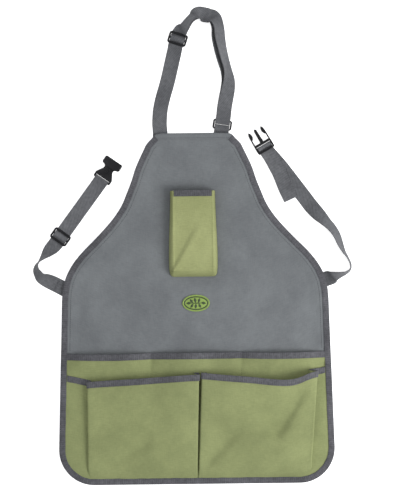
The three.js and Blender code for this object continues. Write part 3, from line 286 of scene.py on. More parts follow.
NECK_WAY = StrapWay(-56.5, TOP_Y, 100.0, 204.0)
WAIST_LEFT_WAY = StrapWay(-WAIST_HALF, WAIST_LEFT_ANCHOR_Y, 1.308 * ARMHOLE_WIDTH, 210.0)
WAIST_RIGHT_WAY = StrapWay(WAIST_HALF, WAIST_RIGHT_ANCHOR_Y, 1.495 * ARMHOLE_WIDTH, 240.0)


class StrapRow(NamedTuple):
    """A place along a strap: shares of its spread and reach, the compass angle from its outer to
    its inner edge, how far the inner edge is raised, and the space between doubled layers."""

    spread: float
    reach: float
    across: float
    tilt: float = 0.0
    apart: float = 0.0


NECK_LEG = tuple(StrapRow(*row) for row in (
    (0.000, -0.062, 0),
    (0.000, 0.012, 0),
    (-0.008, 0.090, -2),
    (0.008, 0.190, -6),
    (0.052, 0.290, -11),
    (0.135, 0.430, -14),
    (0.212, 0.585, -14),
    (0.262, 0.690, -17),
))
NECK_DOUBLE = tuple(StrapRow(*row) for row in (
    (0.412, 0.866, -32, 42, 0.4),
    (0.503, 0.930, -42, 55, 1.0),
    (0.595, 0.972, -66, 50, 1.5),
    (0.690, 0.990, -86, 12, 1.2),
    (0.768, 0.984, -91, 4, 1.2),
    (0.845, 0.974, -96, 16, 1.2),
    (0.918, 0.964, -112, 22, 2.0),
    (0.985, 0.924, -146, 40, 3.5),
    (1.024, 0.862, -170, 46, 5.0),
    (1.036, 0.790, -176, 46, 6.5),
    (1.068, 0.702, -174, 52, 7.0),
    (1.117, 0.602, -173, 56, 7.0),
    (1.166, 0.510, -174, 56, 6.0),
    (1.180, 0.430, -179, 40, 4.0),
    (1.160, 0.355, -184, 20, 2.2),
    (1.130, 0.290, -186, 6, 1.2),
    (1.100, 0.215, -188, 0, 0.8),
))
WAIST_LEFT_LEG = tuple(StrapRow(*row) for row in (
    (0.062, -0.025, WAIST_LEFT_ANGLE, 0),
    (-0.002, 0.009, WAIST_LEFT_ANGLE, 0),
    (-0.070, 0.045, 62, 0),
    (-0.135, 0.077, 58, 26),
    (-0.172, 0.103, 46, 46),
    (-0.194, 0.143, 28, 54),
    (-0.196, 0.184, 8, 68),
    (-0.178, 0.220, -16, 80),
    (-0.146, 0.255, -30, 66),
    (-0.113, 0.287, -34, 44),
    (-0.076, 0.330, -36, 14),
))
WAIST_RIGHT_LEG = tuple(StrapRow(*row) for row in (
    (-0.058, -0.014, 101, 0),
    (-0.014, 0.003, 101, 0),
    (0.010, 0.011, 102, 14),
    (0.036, 0.020, 104, 44),
    (0.077, 0.031, 108, 64),
    (0.120, 0.044, 120, 76),
    (0.150, 0.068, 150, 80),
    (0.155, 0.104, 182, 80),
    (0.136, 0.150, 196, 80),
    (0.108, 0.195, 194, 73),
    (0.084, 0.250, 192, 62),
    (0.060, 0.312, 196, 56),
    (0.024, 0.366, 204, 50),
    (-0.018, 0.410, 214, 42),
    (-0.070, 0.465, 216, 16),
    (-0.120, 0.524, 215, 0),
    (-0.170, 0.592, 215, 0),
    (-0.246, 0.692, 216, 0),
    (-0.326, 0.798, 215, 0),
    (-0.385, 0.868, 212, 0),
))
TAIL = tuple(StrapRow(*row) for row in (
    (-0.392, 0.862, 213),
    (-0.366, 0.812, 209),
    (-0.340, 0.762, 205),
    (-0.318, 0.708, 204),
    (-0.296, 0.651, 206),
    (-0.258, 0.568, 213),
))


# Shape helpers


def clamp01(value: np.ndarray | float) -> np.ndarray | float:
    """A number or array held between 0 and 1."""
    return np.clip(value, 0.0, 1.0)


def ease(value: np.ndarray | float) -> np.ndarray | float:
    """A smooth step from 0 to 1."""
    s = clamp01(value)
    return s * s * (3 - 2 * s)


def unit(vectors: np.ndarray) -> np.ndarray:
    """Each vector at length 1."""
    return vectors / np.maximum(np.linalg.norm(vectors, axis=-1, keepdims=True), 1e-9)


def smoothed(points: np.ndarray, steps: int, softness: float = 0.0) -> np.ndarray:
    """A smooth run through or near a row of points.

    Args:
        points: The points, along the first axis.
        steps: How many spans each span between two points becomes.
        softness: 0 keeps every point on the run; 1 cuts the corners as a B-spline does.

    Returns:
        The denser row of points, with the same ends.
    """
    through = np.array([[0, 2, 0, 0], [-1, 0, 1, 0], [2, -5, 4, -1], [-1, 3, -3, 1]]) / 2
    near = np.array([[1, 4, 1, 0], [-3, 0, 3, 0], [3, -6, 3, 0], [-1, 3, -3, 1]]) / 6
    basis = (1 - softness) * through + softness * near
    before = 2 * points[:1] - points[1:2]
    after = 2 * points[-1:] - points[-2:-1]
    padded = np.concatenate([before, points, after])
    made = []
    for i in range(len(points) - 1):
        four = padded[i : i + 4]
        for k in range(steps):
            t = k / steps
            weights = np.array([1, t, t * t, t**3]) @ basis
            made.append(np.tensordot(weights, four, axes=1))
    made.append(points[-1])
    return np.array(made)


def smoothed_grid(grid: Grid, steps: int, softness: float) -> Grid:
    """A grid of points made denser and smooth both ways."""
    down = smoothed(grid, steps, softness)
    across = smoothed(np.swapaxes(down, 0, 1), steps, softness)
    return np.swapaxes(across, 0, 1)


def even_run(points: np.ndarray, spacing: float) -> np.ndarray:
    """The same polyline with points at an even spacing.

    Args:
        points: The polyline's points.
        spacing: The spacing to come near to.

    Returns:
        The new points, with the same ends.
    """
    steps = np.linalg.norm(np.diff(points, axis=0), axis=1)
    along = np.concatenate([[0], np.cumsum(steps)])
    count = max(2, int(round(along[-1] / spacing)) + 1)
    wanted = np.linspace(0, along[-1], count)
    return np.stack([np.interp(wanted, along, points[:, k]) for k in range(points.shape[1])], 1)


def ripples(x: np.ndarray, y: np.ndarray, wavelength: float, seed: int) -> np.ndarray:
    """Soft uneven waves over the cloth, from about -1 to 1, that don't seem to repeat.

    Args:
        x: Places across.
        y: Places up.
        wavelength: Length of a middling wave.
        seed: Seed of the waves' directions and phases.

    Returns:
        The rise at each place.
    """
    rng = np.random.default_rng(seed)
    total = np.zeros_like(x)
    for _ in range(9):
        turn = rng.uniform(0, math.tau)
        phase = rng.uniform(0, math.tau)
        rate = math.tau / (wavelength * rng.uniform(0.7, 1.6))
        total += np.sin(rate * (x * math.cos(turn) + y * math.sin(turn)) + phase)
    return total / 5.0


def straight_up(count: int) -> np.ndarray:
    """The upward direction, once for each of so many places."""
    return np.tile([0.0, 0.0, 1.0], (count, 1))


def surface_normals(grid: Grid) -> Grid:
    """Unit normals of a grid whose rows run down the cloth and columns across it."""
    return unit(np.cross(np.gradient(grid, axis=0), np.gradient(grid, axis=1)))


def deselect() -> None:
    """Nothing is selected, so that an operator acts on its own piece alone."""
    if bpy.context.object and bpy.context.object.mode != "OBJECT":
        bpy.ops.object.mode_set(mode="OBJECT")
    bpy.ops.object.select_all(action="DESELECT")


def pick(piece: Piece) -> None:
    """That piece alone is selected and active."""
    deselect()
    piece.select_set(True)
    bpy.context.view_layer.objects.active = piece


def soften(piece: Piece, degrees: float = 40) -> None:
    """Smooth shading, with edges sharper than the angle kept."""
    pick(piece)
    bpy.ops.object.shade_smooth_by_angle(angle=math.radians(degrees))


def edit_all(piece: Piece) -> None:
    """Edit mode on that piece alone, with all of it selected."""
    pick(piece)
    bpy.ops.object.mode_set(mode="EDIT")
    bpy.ops.mesh.select_all(action="SELECT")


def end_edit() -> None:
    """Back to object mode, with the changes kept in the mesh."""
    bpy.ops.object.mode_set(mode="OBJECT")


def apply_place() -> None:
    """Puts the place, turn and size of what is selected into its mesh."""
    bpy.ops.object.transform_apply(location=True, rotation=True, scale=True)


def bevel_edges(piece: Piece, width: float, segments: int, degrees: float = 30) -> None:
    """Rounds the edges of the active piece.

    Args:
        piece: The piece, selected and active.
        width: The bevel's width.
        segments: How many steps it is made in.
        degrees: Edges that turn less than this stay as they are.
    """
    bevel = piece.modifiers.new("rounding", "BEVEL")
    bevel.width = width * MM
    bevel.segments = segments
    bevel.limit_method = "ANGLE"
    bevel.angle_limit = math.radians(degrees)
    bpy.ops.object.modifier_apply(modifier=bevel.name)


def join_pieces(name: str, parts: Sequence[Piece], degrees: float = 40) -> Piece:
    """Several small parts as one piece, with their places in its mesh.

    Args:
        name: The piece's name.
        parts: What it is made of.
        degrees: Edges sharper than this stay sharp.

    Returns:
        The joined piece.
    """
    deselect()
    for part in parts:
        part.select_set(True)
    bpy.context.view_layer.objects.active = parts[0]
    apply_place()
    bpy.ops.object.join()
    piece = bpy.context.object
    piece.name = name
    soften(piece, degrees)
    return piece


def mesh_piece(
    name: str, points: np.ndarray, faces: Sequence[Sequence[int]], uv: np.ndarray | None = None
) -> Piece:
    """A mesh object from points in millimetres.

    Args:
        name: The piece's name.
        points: Its vertices.
        faces: Its faces, as indices of vertices.
        uv: A pattern place in metres for each vertex, or None.

    Returns:
        The new object, at the origin.
    """
    mesh = bpy.data.meshes.new(name)
    mesh.from_pydata((points * MM).tolist(), [], faces)
    if uv is not None:
        layer = mesh.uv_layers.new(name=UV_NAME)
        corners = np.empty(len(mesh.loops), dtype=np.int32)
        mesh.loops.foreach_get("vertex_index", corners)
        layer.data.foreach_set("uv", uv[corners].astype(np.float32).ravel())
    mesh.update()
    piece = bpy.data.objects.new(name, mesh)
    bpy.context.scene.collection.objects.link(piece)
    soften(piece)
    return piece


def grid_faces(rows: int, columns: int, start: int = 0, flip: bool = False) -> list[tuple]:
    """Quads of a grid of vertices, facing up where rows run down and columns run across.

    Args:
        rows: How many rows of vertices.
        columns: How many vertices in a row.
        start: Index of the first vertex.
        flip: Whether the quads face down instead.

    Returns:
        The quads.
    """
    faces = []
    for i in range(rows - 1):
        for j in range(columns - 1):
            p = start + i * columns + j
            quad = (p, p + columns, p + columns + 1, p + 1)
            faces.append(quad[::-1] if flip else quad)
    return faces


def cloth_wall(name: str, grid: Grid, thickness: float) -> Piece:
    """A closed wall of cloth round a grid of points, with its pattern laid along the cloth.

    Args:
        name: The piece's name.
        grid: Points of the cloth's middle, rows down and columns across.
        thickness: The wall's thickness.

    Returns:
        The new object.
    """
    rows, columns = grid.shape[:2]
    normals = surface_normals(grid)
    top = (grid + normals * thickness / 2).reshape(-1, 3)
    back = (grid - normals * thickness / 2).reshape(-1, 3)
    count = rows * columns
    faces = grid_faces(rows, columns) + grid_faces(rows, columns, count, True)
    rim = list(range(columns - 1))
    rim += [i * columns + columns - 1 for i in range(rows - 1)]
    rim += [(rows - 1) * columns + j for j in range(columns - 1, 0, -1)]
    rim += [i * columns for i in range(rows - 1, 0, -1)]
    for k, p in enumerate(rim):
        q = rim[(k + 1) % len(rim)]
        faces.append((p, q, count + q, count + p))
    across = np.linalg.norm(np.diff(grid, axis=1), axis=2)
    down = np.linalg.norm(np.diff(grid, axis=0), axis=2)
    u = np.concatenate([np.zeros((rows, 1)), np.cumsum(across, axis=1)], axis=1)
    v = np.concatenate([np.zeros((1, columns)), np.cumsum(down, axis=0)], axis=0)
    u += grid[:, :1, 0]
    uv = np.stack([u, v], 2).reshape(-1, 2) * MM
    return mesh_piece(name, np.concatenate([top, back]), faces, np.concatenate([uv, uv]))


@dataclass
class Frames:
    """Places along a sweep, each with the two axes of its section."""

    origin: np.ndarray
    a: np.ndarray
    b: np.ndarray

    def at(self, a: float | np.ndarray, b: float | np.ndarray) -> np.ndarray:
        """Points at one place in the section, all along the sweep."""
        a_part = self.a * np.reshape(a, (-1, 1))
        return self.origin + a_part + self.b * np.reshape(b, (-1, 1))


def swept(name: str, frames: Frames, profiles: np.ndarray) -> Piece:
    """A closed solid swept through frames, its pattern running along the sweep.

    Args:
        name: The piece's name.
        frames: The places along it.
        profiles: The section's corners in order, one section for all or one for each place.

    Returns:
        The new object.
    """
    count = len(frames.origin)
    if profiles.ndim == 2:
        profiles = np.repeat(profiles[None], count, axis=0)
    sides = profiles.shape[1]
    points = (
        frames.origin[:, None]
        + frames.a[:, None] * profiles[..., :1]
        + frames.b[:, None] * profiles[..., 1:]
    )
    faces = []
    for i in range(count - 1):
        for j in range(sides):
            k = (j + 1) % sides
            p, q = i * sides, (i + 1) * sides
            faces.append((p + j, p + k, q + k, q + j))
    last = (count - 1) * sides
    faces.append(tuple(range(sides))[::-1])
    faces.append(tuple(range(last, last + sides)))
    step = np.linalg.norm(np.diff(points.mean(axis=1), axis=0), axis=1)
    v = np.concatenate([[0], np.cumsum(step)])
    uv = np.stack([profiles[..., 0], np.repeat(v[:, None], sides, axis=1)], 2) * MM
    piece = mesh_piece(name, points.reshape(-1, 3), faces, uv.reshape(-1, 2))
    edit_all(piece)
    bpy.ops.mesh.normals_make_consistent(inside=False)
    end_edit()
    soften(piece)
    return piece


# Finishes


def linear(code: str) -> tuple[float, float, float, float]:
    """An sRGB hex colour as Blender's linear one."""
    parts = [int(code[k : k + 2], 16) / 255 for k in (1, 3, 5)]
    curve = [p / 12.92 if p <= 0.04045 else ((p + 0.055) / 1.055) ** 2.4 for p in parts]
    return (curve[0], curve[1], curve[2], 1.0)


def node(tree: bpy.types.NodeTree, kind: str, inputs: dict | None = None, **settings: Any) -> Any:
    """Adds a node.

    Args:
        tree: The material's nodes.
        kind: The node's type.
        inputs: Socket name or number to a value, or to another node's output to link.
        settings: Properties of the node.

    Returns:
        The new node.
    """
    made = tree.nodes.new(kind)
    for key, value in settings.items():
        setattr(made, key, value)
    for key, value in (inputs or {}).items():
        if isinstance(value, bpy.types.NodeSocket):
            tree.links.new(value, made.inputs[key])
        else:
            made.inputs[key].default_value = value
    return made


def new_material(name: str) -> tuple[Material, bpy.types.NodeTree]:
    """A material with no nodes yet, and the tree for them."""
    material = bpy.data.materials.new(name)
    material.use_nodes = True
    material.node_tree.nodes.clear()
    return material, material.node_tree


class Pattern(Enum):
    """How a woven finish is woven."""

    PLAIN = "plain"
    RIBBED = "ribbed"
    TWILL = "twill"


@dataclass(frozen=True)
class Weave:
    """A weave's pattern, with its spacing and relief in millimetres.

    Real threads here are 0.5 to 1 mm apart, too fine for a picture with 1.7 mm to the pixel, so
    each spacing is drawn as coarse as it needs to be to show. Contrast is how much darker the
    gaps are painted, as painted shade between the threads, and unevenness the share of the
    relief that comes from irregular threads.
    """

    pattern: Pattern
    spacing: float
    depth: float
    contrast: float
    unevenness: float = 0.45


@dataclass(frozen=True)
class WovenFinish:
    """Dull woven polyester: threads lie a little uneven in it, and it has a faint sheen."""

    name: str
    color: str
    light: str
    dark: str
    weave: Weave
    roughness: float = 0.85
    sheen: float = 0.06
    patches: float = 0.45
    selvage: float = 0.0

    def build(self) -> Material:
        """Makes the material.

        Returns:
            A material that reads the cloth's own UV map, in metres.
        """
        material, tree = new_material(self.name)
        place = node(tree, "ShaderNodeUVMap", uv_map=UV_NAME)
        split = node(tree, "ShaderNodeSeparateXYZ", {0: place.outputs[0]})
        threads = self.threads(tree, place.outputs[0], split.outputs[0], split.outputs[1])
        thing = node(tree, "ShaderNodeTexCoord")
        broad = node(
            tree, "ShaderNodeTexNoise",
            {"Vector": thing.outputs["Object"], "Scale": 14.0, "Detail": 4.0, "Roughness": 0.6},
        )
        spread = node(
            tree, "ShaderNodeMapRange",
            {"Value": broad.outputs["Fac"], "From Min": 0.35, "From Max": 0.65},
        )
        dyed = node(
            tree, "ShaderNodeMix",
            {0: spread.outputs[0], 6: linear(self.dark), 7: linear(self.light)},
            data_type="RGBA",
        )
        body = node(
            tree, "ShaderNodeMix", {0: self.patches, 6: linear(self.color), 7: dyed.outputs[2]},
            data_type="RGBA",
        )
        # The threads' relief also darkens the colour in the weave's gaps: painted shade between the
        # threads.
        shade = node(
            tree, "ShaderNodeMapRange",
            {
                "Value": threads, "To Min": 1 - self.weave.contrast,
                "To Max": 1 + self.weave.contrast,
            },
        )
        edge = self.edge_shade(tree, split.outputs[0])
        both = node(tree, "ShaderNodeMath", {0: shade.outputs[0], 1: edge}, operation="MULTIPLY")
        toned = node(
            tree, "ShaderNodeVectorMath", {0: body.outputs[2], "Scale": both.outputs[0]},
            operation="SCALE",
        )
        relief = node(
            tree, "ShaderNodeBump",
            {"Height": threads, "Strength": 0.6, "Distance": self.weave.depth * MM},
        )
        shader = node(
            tree, "ShaderNodeBsdfPrincipled",
            {
                "Base Color": toned.outputs[0], "Normal": relief.outputs[0],
                "Roughness": self.roughness, "Specular IOR Level": 0.25,
                "Sheen Weight": self.sheen, "Sheen Roughness": 0.5,
                "Sheen Tint": linear(self.light),
            },
        )
        node(tree, "ShaderNodeOutputMaterial", {0: shader.outputs[0]})
        return material

    def edge_shade(self, tree: bpy.types.NodeTree, across: Any) -> Any:
        """1 over the width, falling off towards a strap's edges, which it makes darker.

        Args:
            tree: The material's nodes.
            across: Socket with the place across the cloth, in metres.

        Returns:
            Socket with the shade.
        """
        reach = node(tree, "ShaderNodeMath", {0: across}, operation="ABSOLUTE")
        shade = node(
            tree, "ShaderNodeMapRange",
            {
                "Value": reach.outputs[0], "From Min": 10.6 * MM, "From Max": 12.4 * MM,
                "To Min": 1.0, "To Max": 1.0 - self.selvage,
            },
        )
        return shade.outputs[0]

    def threads(self, tree: bpy.types.NodeTree, place: Any, across: Any, along: Any) -> Any:
        """The threads' relief, from 0 to 1, for the pattern.

        Args:
            tree: The material's nodes.
            place: Socket with the place on the cloth, in metres.
            across: Socket with its first part.
            along: Socket with its second part.

        Returns:
            Socket with the relief.
        """
        rate = 1 / (self.weave.spacing * MM)
        if self.weave.pattern is Pattern.PLAIN:
            weft = self.streaks(tree, place, (rate / 5, rate, 1))
            warp = self.streaks(tree, place, (rate, rate / 6, 1))
            return node(tree, "ShaderNodeMix", {0: 0.4, 2: weft, 3: warp}).outputs[0]
        if self.weave.pattern is Pattern.TWILL:
            along = node(tree, "ShaderNodeMath", {0: along, 1: across}, operation="ADD").outputs[0]
        turns = node(tree, "ShaderNodeMath", {0: along, 1: math.tau * rate}, operation="MULTIPLY")
        wave = node(tree, "ShaderNodeMath", {0: turns.outputs[0]}, operation="SINE")
        level = node(
            tree, "ShaderNodeMath", {0: wave.outputs[0], 1: 0.5, 2: 0.5}, operation="MULTIPLY_ADD",
        )
        uneven = self.streaks(tree, place, (rate / 1.5, rate / 1.5, 1))
        mixed = node(
            tree, "ShaderNodeMix", {0: self.weave.unevenness, 2: level.outputs[0], 3: uneven},
        )
        return mixed.outputs[0]

    def streaks(self, tree: bpy.types.NodeTree, place: Any, rates: tuple) -> Any:
        """Uneven streaks in the cloth, from 0 to 1.

        Args:
            tree: The material's nodes.
            place: Socket with the place on the cloth, in metres.
            rates: How many streaks to the metre each way.

        Returns:
            Socket with the streaks.
        """
        drawn = node(tree, "ShaderNodeVectorMath", {0: place, 1: rates}, operation="MULTIPLY")
        noise = node(
            tree, "ShaderNodeTexNoise",
            {"Vector": drawn.outputs[0], "Scale": 1.0, "Detail": 2.0, "Roughness": 0.6},
        )
        spread = node(
            tree, "ShaderNodeMapRange",
            {"Value": noise.outputs["Fac"], "From Min": 0.3, "From Max": 0.7},
        )
        return spread.outputs[0]


@dataclass(frozen=True)
class MouldedFinish:
    """Black acetal, injection moulded with a fine spark grain, rubbed a little in scattered patches.
    """

    name: str = "moulded_acetal"
    color: str = "#0b0b0e"
    worn: str = "#141418"
    grain: float = 0.5
    roughness: float = 0.36

    def build(self) -> Material:
        """Makes the material.

        Returns:
            The new material.
        """
        material, tree = new_material(self.name)
        place = node(tree, "ShaderNodeTexCoord")
        grain = node(
            tree, "ShaderNodeTexNoise",
            {"Vector": place.outputs["Object"], "Scale": 1 / (self.grain * MM), "Detail": 2.0},
        )
        rub = node(
            tree, "ShaderNodeTexNoise",
            {"Vector": place.outputs["Object"], "Scale": 160.0, "Detail": 4.0, "Roughness": 0.6},
        )
        tone = node(
            tree, "ShaderNodeMix",
            {0: rub.outputs["Fac"], 6: linear(self.color), 7: linear(self.worn)}, data_type="RGBA",
        )
        gloss = node(
            tree, "ShaderNodeMapRange",
            {
                "Value": rub.outputs["Fac"], "From Min": 0.3, "From Max": 0.7,
                "To Min": self.roughness - 0.05, "To Max": self.roughness + 0.1,
            },
        )
        relief = node(
            tree, "ShaderNodeBump",
            {"Height": grain.outputs["Fac"], "Strength": 0.25, "Distance": 0.05 * MM},
        )
        shader = node(
            tree, "ShaderNodeBsdfPrincipled",
            {
                "Base Color": tone.outputs[2], "Roughness": gloss.outputs[0],
                "Normal": relief.outputs[0], "IOR": 1.48, "Specular IOR Level": 0.3,
            },
        )
        node(tree, "ShaderNodeOutputMaterial", {0: shader.outputs[0]})
        return material


@dataclass(frozen=True)
class ThreadFinish:
    """Twisted polyester thread: a soft lustre along its ply, seen as fine slanting lines."""

    name: str
    color: str
    light: str
    twist: float = 0.5

    def build(self) -> Material:
        """Makes the material.

        Returns:
            The new material.
        """
        material, tree = new_material(self.name)
        place = node(tree, "ShaderNodeTexCoord")
        ply = node(
            tree, "ShaderNodeTexWave",
            {"Vector": place.outputs["Object"], "Scale": 0.3 / (self.twist * MM), "Distortion": 2.0},
            wave_type="BANDS", bands_direction="DIAGONAL",
        )
        tone = node(
            tree, "ShaderNodeMix",
            {0: ply.outputs["Fac"], 6: linear(self.color), 7: linear(self.light)}, data_type="RGBA",
        )
        relief = node(
            tree, "ShaderNodeBump",
            {"Height": ply.outputs["Fac"], "Strength": 0.4, "Distance": 0.08 * MM},
        )
        shader = node(
            tree, "ShaderNodeBsdfPrincipled",
            {
                "Base Color": tone.outputs[2], "Normal": relief.outputs[0], "Roughness": 0.6,
                "Sheen Weight": 0.2, "Sheen Roughness": 0.4,
            },
        )
        node(tree, "ShaderNodeOutputMaterial", {0: shader.outputs[0]})
        return material


@dataclass
class Finishes:
    """Every material of the apron, made once."""

    panel: Material = field(init=False)
    pocket: Material = field(init=False)
    holster: Material = field(init=False)
    tape: Material = field(init=False)
    webbing: Material = field(init=False)
    plastic: Material = field(init=False)
    thread: Material = field(init=False)
    green_thread: Material = field(init=False)
    dark_thread: Material = field(init=False)
    patch_ground: Material = field(init=False)
    patch_dark: Material = field(init=False)

    def __post_init__(self) -> None:
        """Builds them."""
        oxford = Weave(Pattern.PLAIN, spacing=1.8, depth=0.12, contrast=0.11)
        ribs = Weave(Pattern.RIBBED, spacing=3.6, depth=0.35, contrast=0.32, unevenness=0.7)
        twill = Weave(Pattern.TWILL, spacing=3.5, depth=0.45, contrast=0.34)
        self.panel = WovenFinish(
            "grey_oxford_cloth", "#6b6e70", "#777b7d", "#5d6063", oxford,
        ).build()
        self.pocket = WovenFinish(
            "green_oxford_cloth", "#82895e", "#919868", "#717850", oxford,
        ).build()
        # The holster's cloth is the pockets' own green painted lighter: a lit copy of the same cloth,
        # painted light on the raised holster.
        self.holster = WovenFinish(
            "green_oxford_cloth_painted_lighter", "#909567", "#9ea372", "#7e8356", oxford,
        ).build()
        self.tape = WovenFinish(
            "ribbed_binding_tape", "#505054", "#69696d", "#3f3f42", ribs,
        ).build()
        self.webbing = WovenFinish(
            "twill_webbing", "#5b5c5f", "#6d6e71", "#494a4d", twill, selvage=0.2,
        ).build()
        self.plastic = MouldedFinish().build()
        self.thread = ThreadFinish("grey_thread", "#3d3d42", "#56565c").build()
        self.dark_thread = ThreadFinish("dark_grey_thread", "#2d2f31", "#404244").build()
        self.green_thread = ThreadFinish("green_thread", "#4a5230", "#626a42").build()
        self.patch_ground = ThreadFinish("light_green_embroidery", "#748c3e", "#88a04e").build()
        self.patch_dark = ThreadFinish("dark_green_embroidery", "#22301a", "#3c4d2a").build()


def dress(piece: Piece, material: Material, slot: Slot, *nodes: str) -> Piece:
    """Gives a piece its material and its place on the frame.

    Args:
        piece: The piece.
        material: Its finish.
        slot: Not used.
        nodes: The CAD nodes that it stands for.

    Returns:
        The same piece.
    """
    piece.data.materials.clear()
    piece.data.materials.append(material)
    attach(piece, "root")
    if nodes:
        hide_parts(*nodes)
    log.info("%s: %d faces", piece.name, len(piece.data.polygons))
    return piece


# Outline


@dataclass
class Outline:
    """The panel's outline, the same on both sides, from the top's middle round to the hem's."""

    bib_half: float = BIB_HALF
    bib_flat_half: float = 56.0
    waist_half: float = WAIST_HALF
    waist_y: float = -24.0
    hem_half: float = 234.0
    corner: float = 60.0
    spacing: float = 2.5
    half: np.ndarray = field(init=False)
    inward: np.ndarray = field(init=False)

    def __post_init__(self) -> None:
        """Works out the right half's points and the way into the cloth at each."""
        table = [(self.bib_flat_half, TOP_Y)]
        for row in ARMHOLE:
            x = self.bib_half + (self.waist_half - self.bib_half) * row.spread
            table.append((x, TOP_Y + (self.waist_y - TOP_Y) * row.fall))
        curve = smoothed(np.array(table), 8)
        corner_y = HEM_Y + self.corner
        turns = np.linspace(0, math.pi / 2, 24)
        arc_x = self.hem_half - self.corner * (1 - np.cos(turns))
        arc_y = corner_y - self.corner * np.sin(turns)
        run = [np.array([[0.0, TOP_Y]]), curve, np.stack([arc_x, arc_y], 1), np.array([[0.0, HEM_Y]])]
        self.half = even_run(np.concatenate(run), self.spacing)
        self.half[0], self.half[-1] = (0, TOP_Y), (0, HEM_Y)
        along = np.gradient(self.half, axis=0)
        along[0], along[-1] = (1, 0), (-1, 0)
        along = unit(along)
        self.inward = np.stack([along[:, 1], -along[:, 0]], 1)

    def inset(self, amount: float) -> np.ndarray:
        """The right half, moved into the cloth."""
        return self.half + self.inward * amount

    def width_at(self, amount: float, y: np.ndarray | float) -> np.ndarray:
        """Half width of the outline moved into the cloth.

        Args:
            amount: How far it is moved.
            y: The heights.

        Returns:
            The half width at each height.
        """
        line = self.inset(amount)
        falling = np.gradient(line[:, 1]) < -1e-3
        x, height = line[falling, 0], line[falling, 1]
        order = np.argsort(height)
        return np.interp(y, height[order], x[order])

    def nearest(self, x: np.ndarray, y: np.ndarray) -> tuple[np.ndarray, np.ndarray]:
        """Distance to the edge, and the edge's lift there.

        Args:
            x: Places across.
            y: Places up.

        Returns:
            The distance and the lift for each place.
        """
        flat_x, flat_y = np.abs(x).ravel(), y.ravel()
        distance = np.empty_like(flat_x)
        index = np.empty(flat_x.shape, dtype=int)
        batch = 4000
        for start in range(0, len(flat_x), batch):
            part = slice(start, start + batch)
            dx = flat_x[part, None] - self.half[None, :, 0]
            dy = flat_y[part, None] - self.half[None, :, 1]
            squares = dx * dx + dy * dy
            index[part] = np.argmin(squares, axis=1)
            distance[part] = np.sqrt(squares[np.arange(len(squares)), index[part]])
        lift = edge_lift(self.half[index, 1], np.where(x.ravel() < 0, -1, 1))
        return distance.reshape(x.shape), lift.reshape(x.shape)


BIB_LIFT_REACH = 75.0
ANCHOR_LIFT_HALF = 17.0
ANCHOR_LIFT_REACH = 62.0


def edge_lift(y: np.ndarray, side: np.ndarray) -> np.ndarray:
    """How far webbing sewn behind the edge holds it up.

    Args:
        y: Heights along the edge.
        side: The side of each, -1 or 1.

    Returns:
        The lift at each.
    """
    anchor = np.where(side < 0, WAIST_LEFT_ANCHOR_Y, WAIST_RIGHT_ANCHOR_Y)
    top = 1 - (TOP_Y - STOCK.tape_width - y) / BIB_LIFT_REACH
    waist = 1 - (np.abs(y - anchor) - ANCHOR_LIFT_HALF) / ANCHOR_LIFT_REACH
    return (STOCK.web + STOCK.gap) * np.maximum(clamp01(top), clamp01(waist))


@dataclass
class Layers:
    """Heights of the cloth layers' middles over the floor."""

    outline: Outline
    seam_margin: float = 13.0
    seam_slope: float = 16.0
    puffs: tuple[float, float, float] = (1.0, 0.82, 0.91)

    def panel(self, x: np.ndarray, y: np.ndarray) -> np.ndarray:
        """The panel: held up by the binding at its edge, flat on the floor inside."""
        distance, lift = self.outline.nearest(x, y)
        held = STOCK.tape + STOCK.gap + lift
        fall = 1 - ease((distance - self.seam_margin) / (self.seam_slope * 1.3))
        return held * fall + STOCK.cloth / 2

    def side_stop(self, y: np.ndarray) -> np.ndarray:
        """Half width to where a pocket comes out from under the binding."""
        edge = self.outline.width_at(UNDER_BINDING, y)
        inner = np.maximum(self.outline.width_at(STOCK.tape_width + 1, y), edge - 21.0)
        return np.minimum(inner, edge - 2.0)

    def openness(self, x: np.ndarray, y: np.ndarray) -> np.ndarray:
        """0 at the binding, rising to 1 well inside it."""
        distance, _ = self.outline.nearest(x, y)
        return clamp01((distance - STOCK.tape_width - 1) / (2 * STOCK.tape_width))

    def tool(self, x: np.ndarray, y: np.ndarray) -> np.ndarray:
        """The tool pocket: three compartments puffed open at the mouth.

        Args:
            x: Places across.
            y: Places up.

        Returns:
            The height of its middle at each place.
        """
        base = self.panel(x, y) + STOCK.cloth + STOCK.gap
        inner = self.side_stop(y)
        bounds = [-inner, -TOOL_DIVISION_X, TOOL_DIVISION_X, inner]
        fall = 1 - 0.7 * ease((TOOL_MOUTH_Y - y) / (TOOL_MOUTH_Y - FRONT_MOUTH_Y) / 1.4)
        opened = self.openness(x, y) ** 0.7
        height = np.zeros_like(x)
        for k, puff in enumerate(self.puffs):
            at = clamp01((x - bounds[k]) / (bounds[k + 1] - bounds[k]))
            arch = np.maximum(np.sin(np.pi * at), 0) ** 0.6
            inside = (x >= bounds[k]) & (x <= bounds[k + 1])
            height = np.where(inside, TOOL_DEPTH * puff * arch * fall * opened, height)
        return base + height


# Stitching


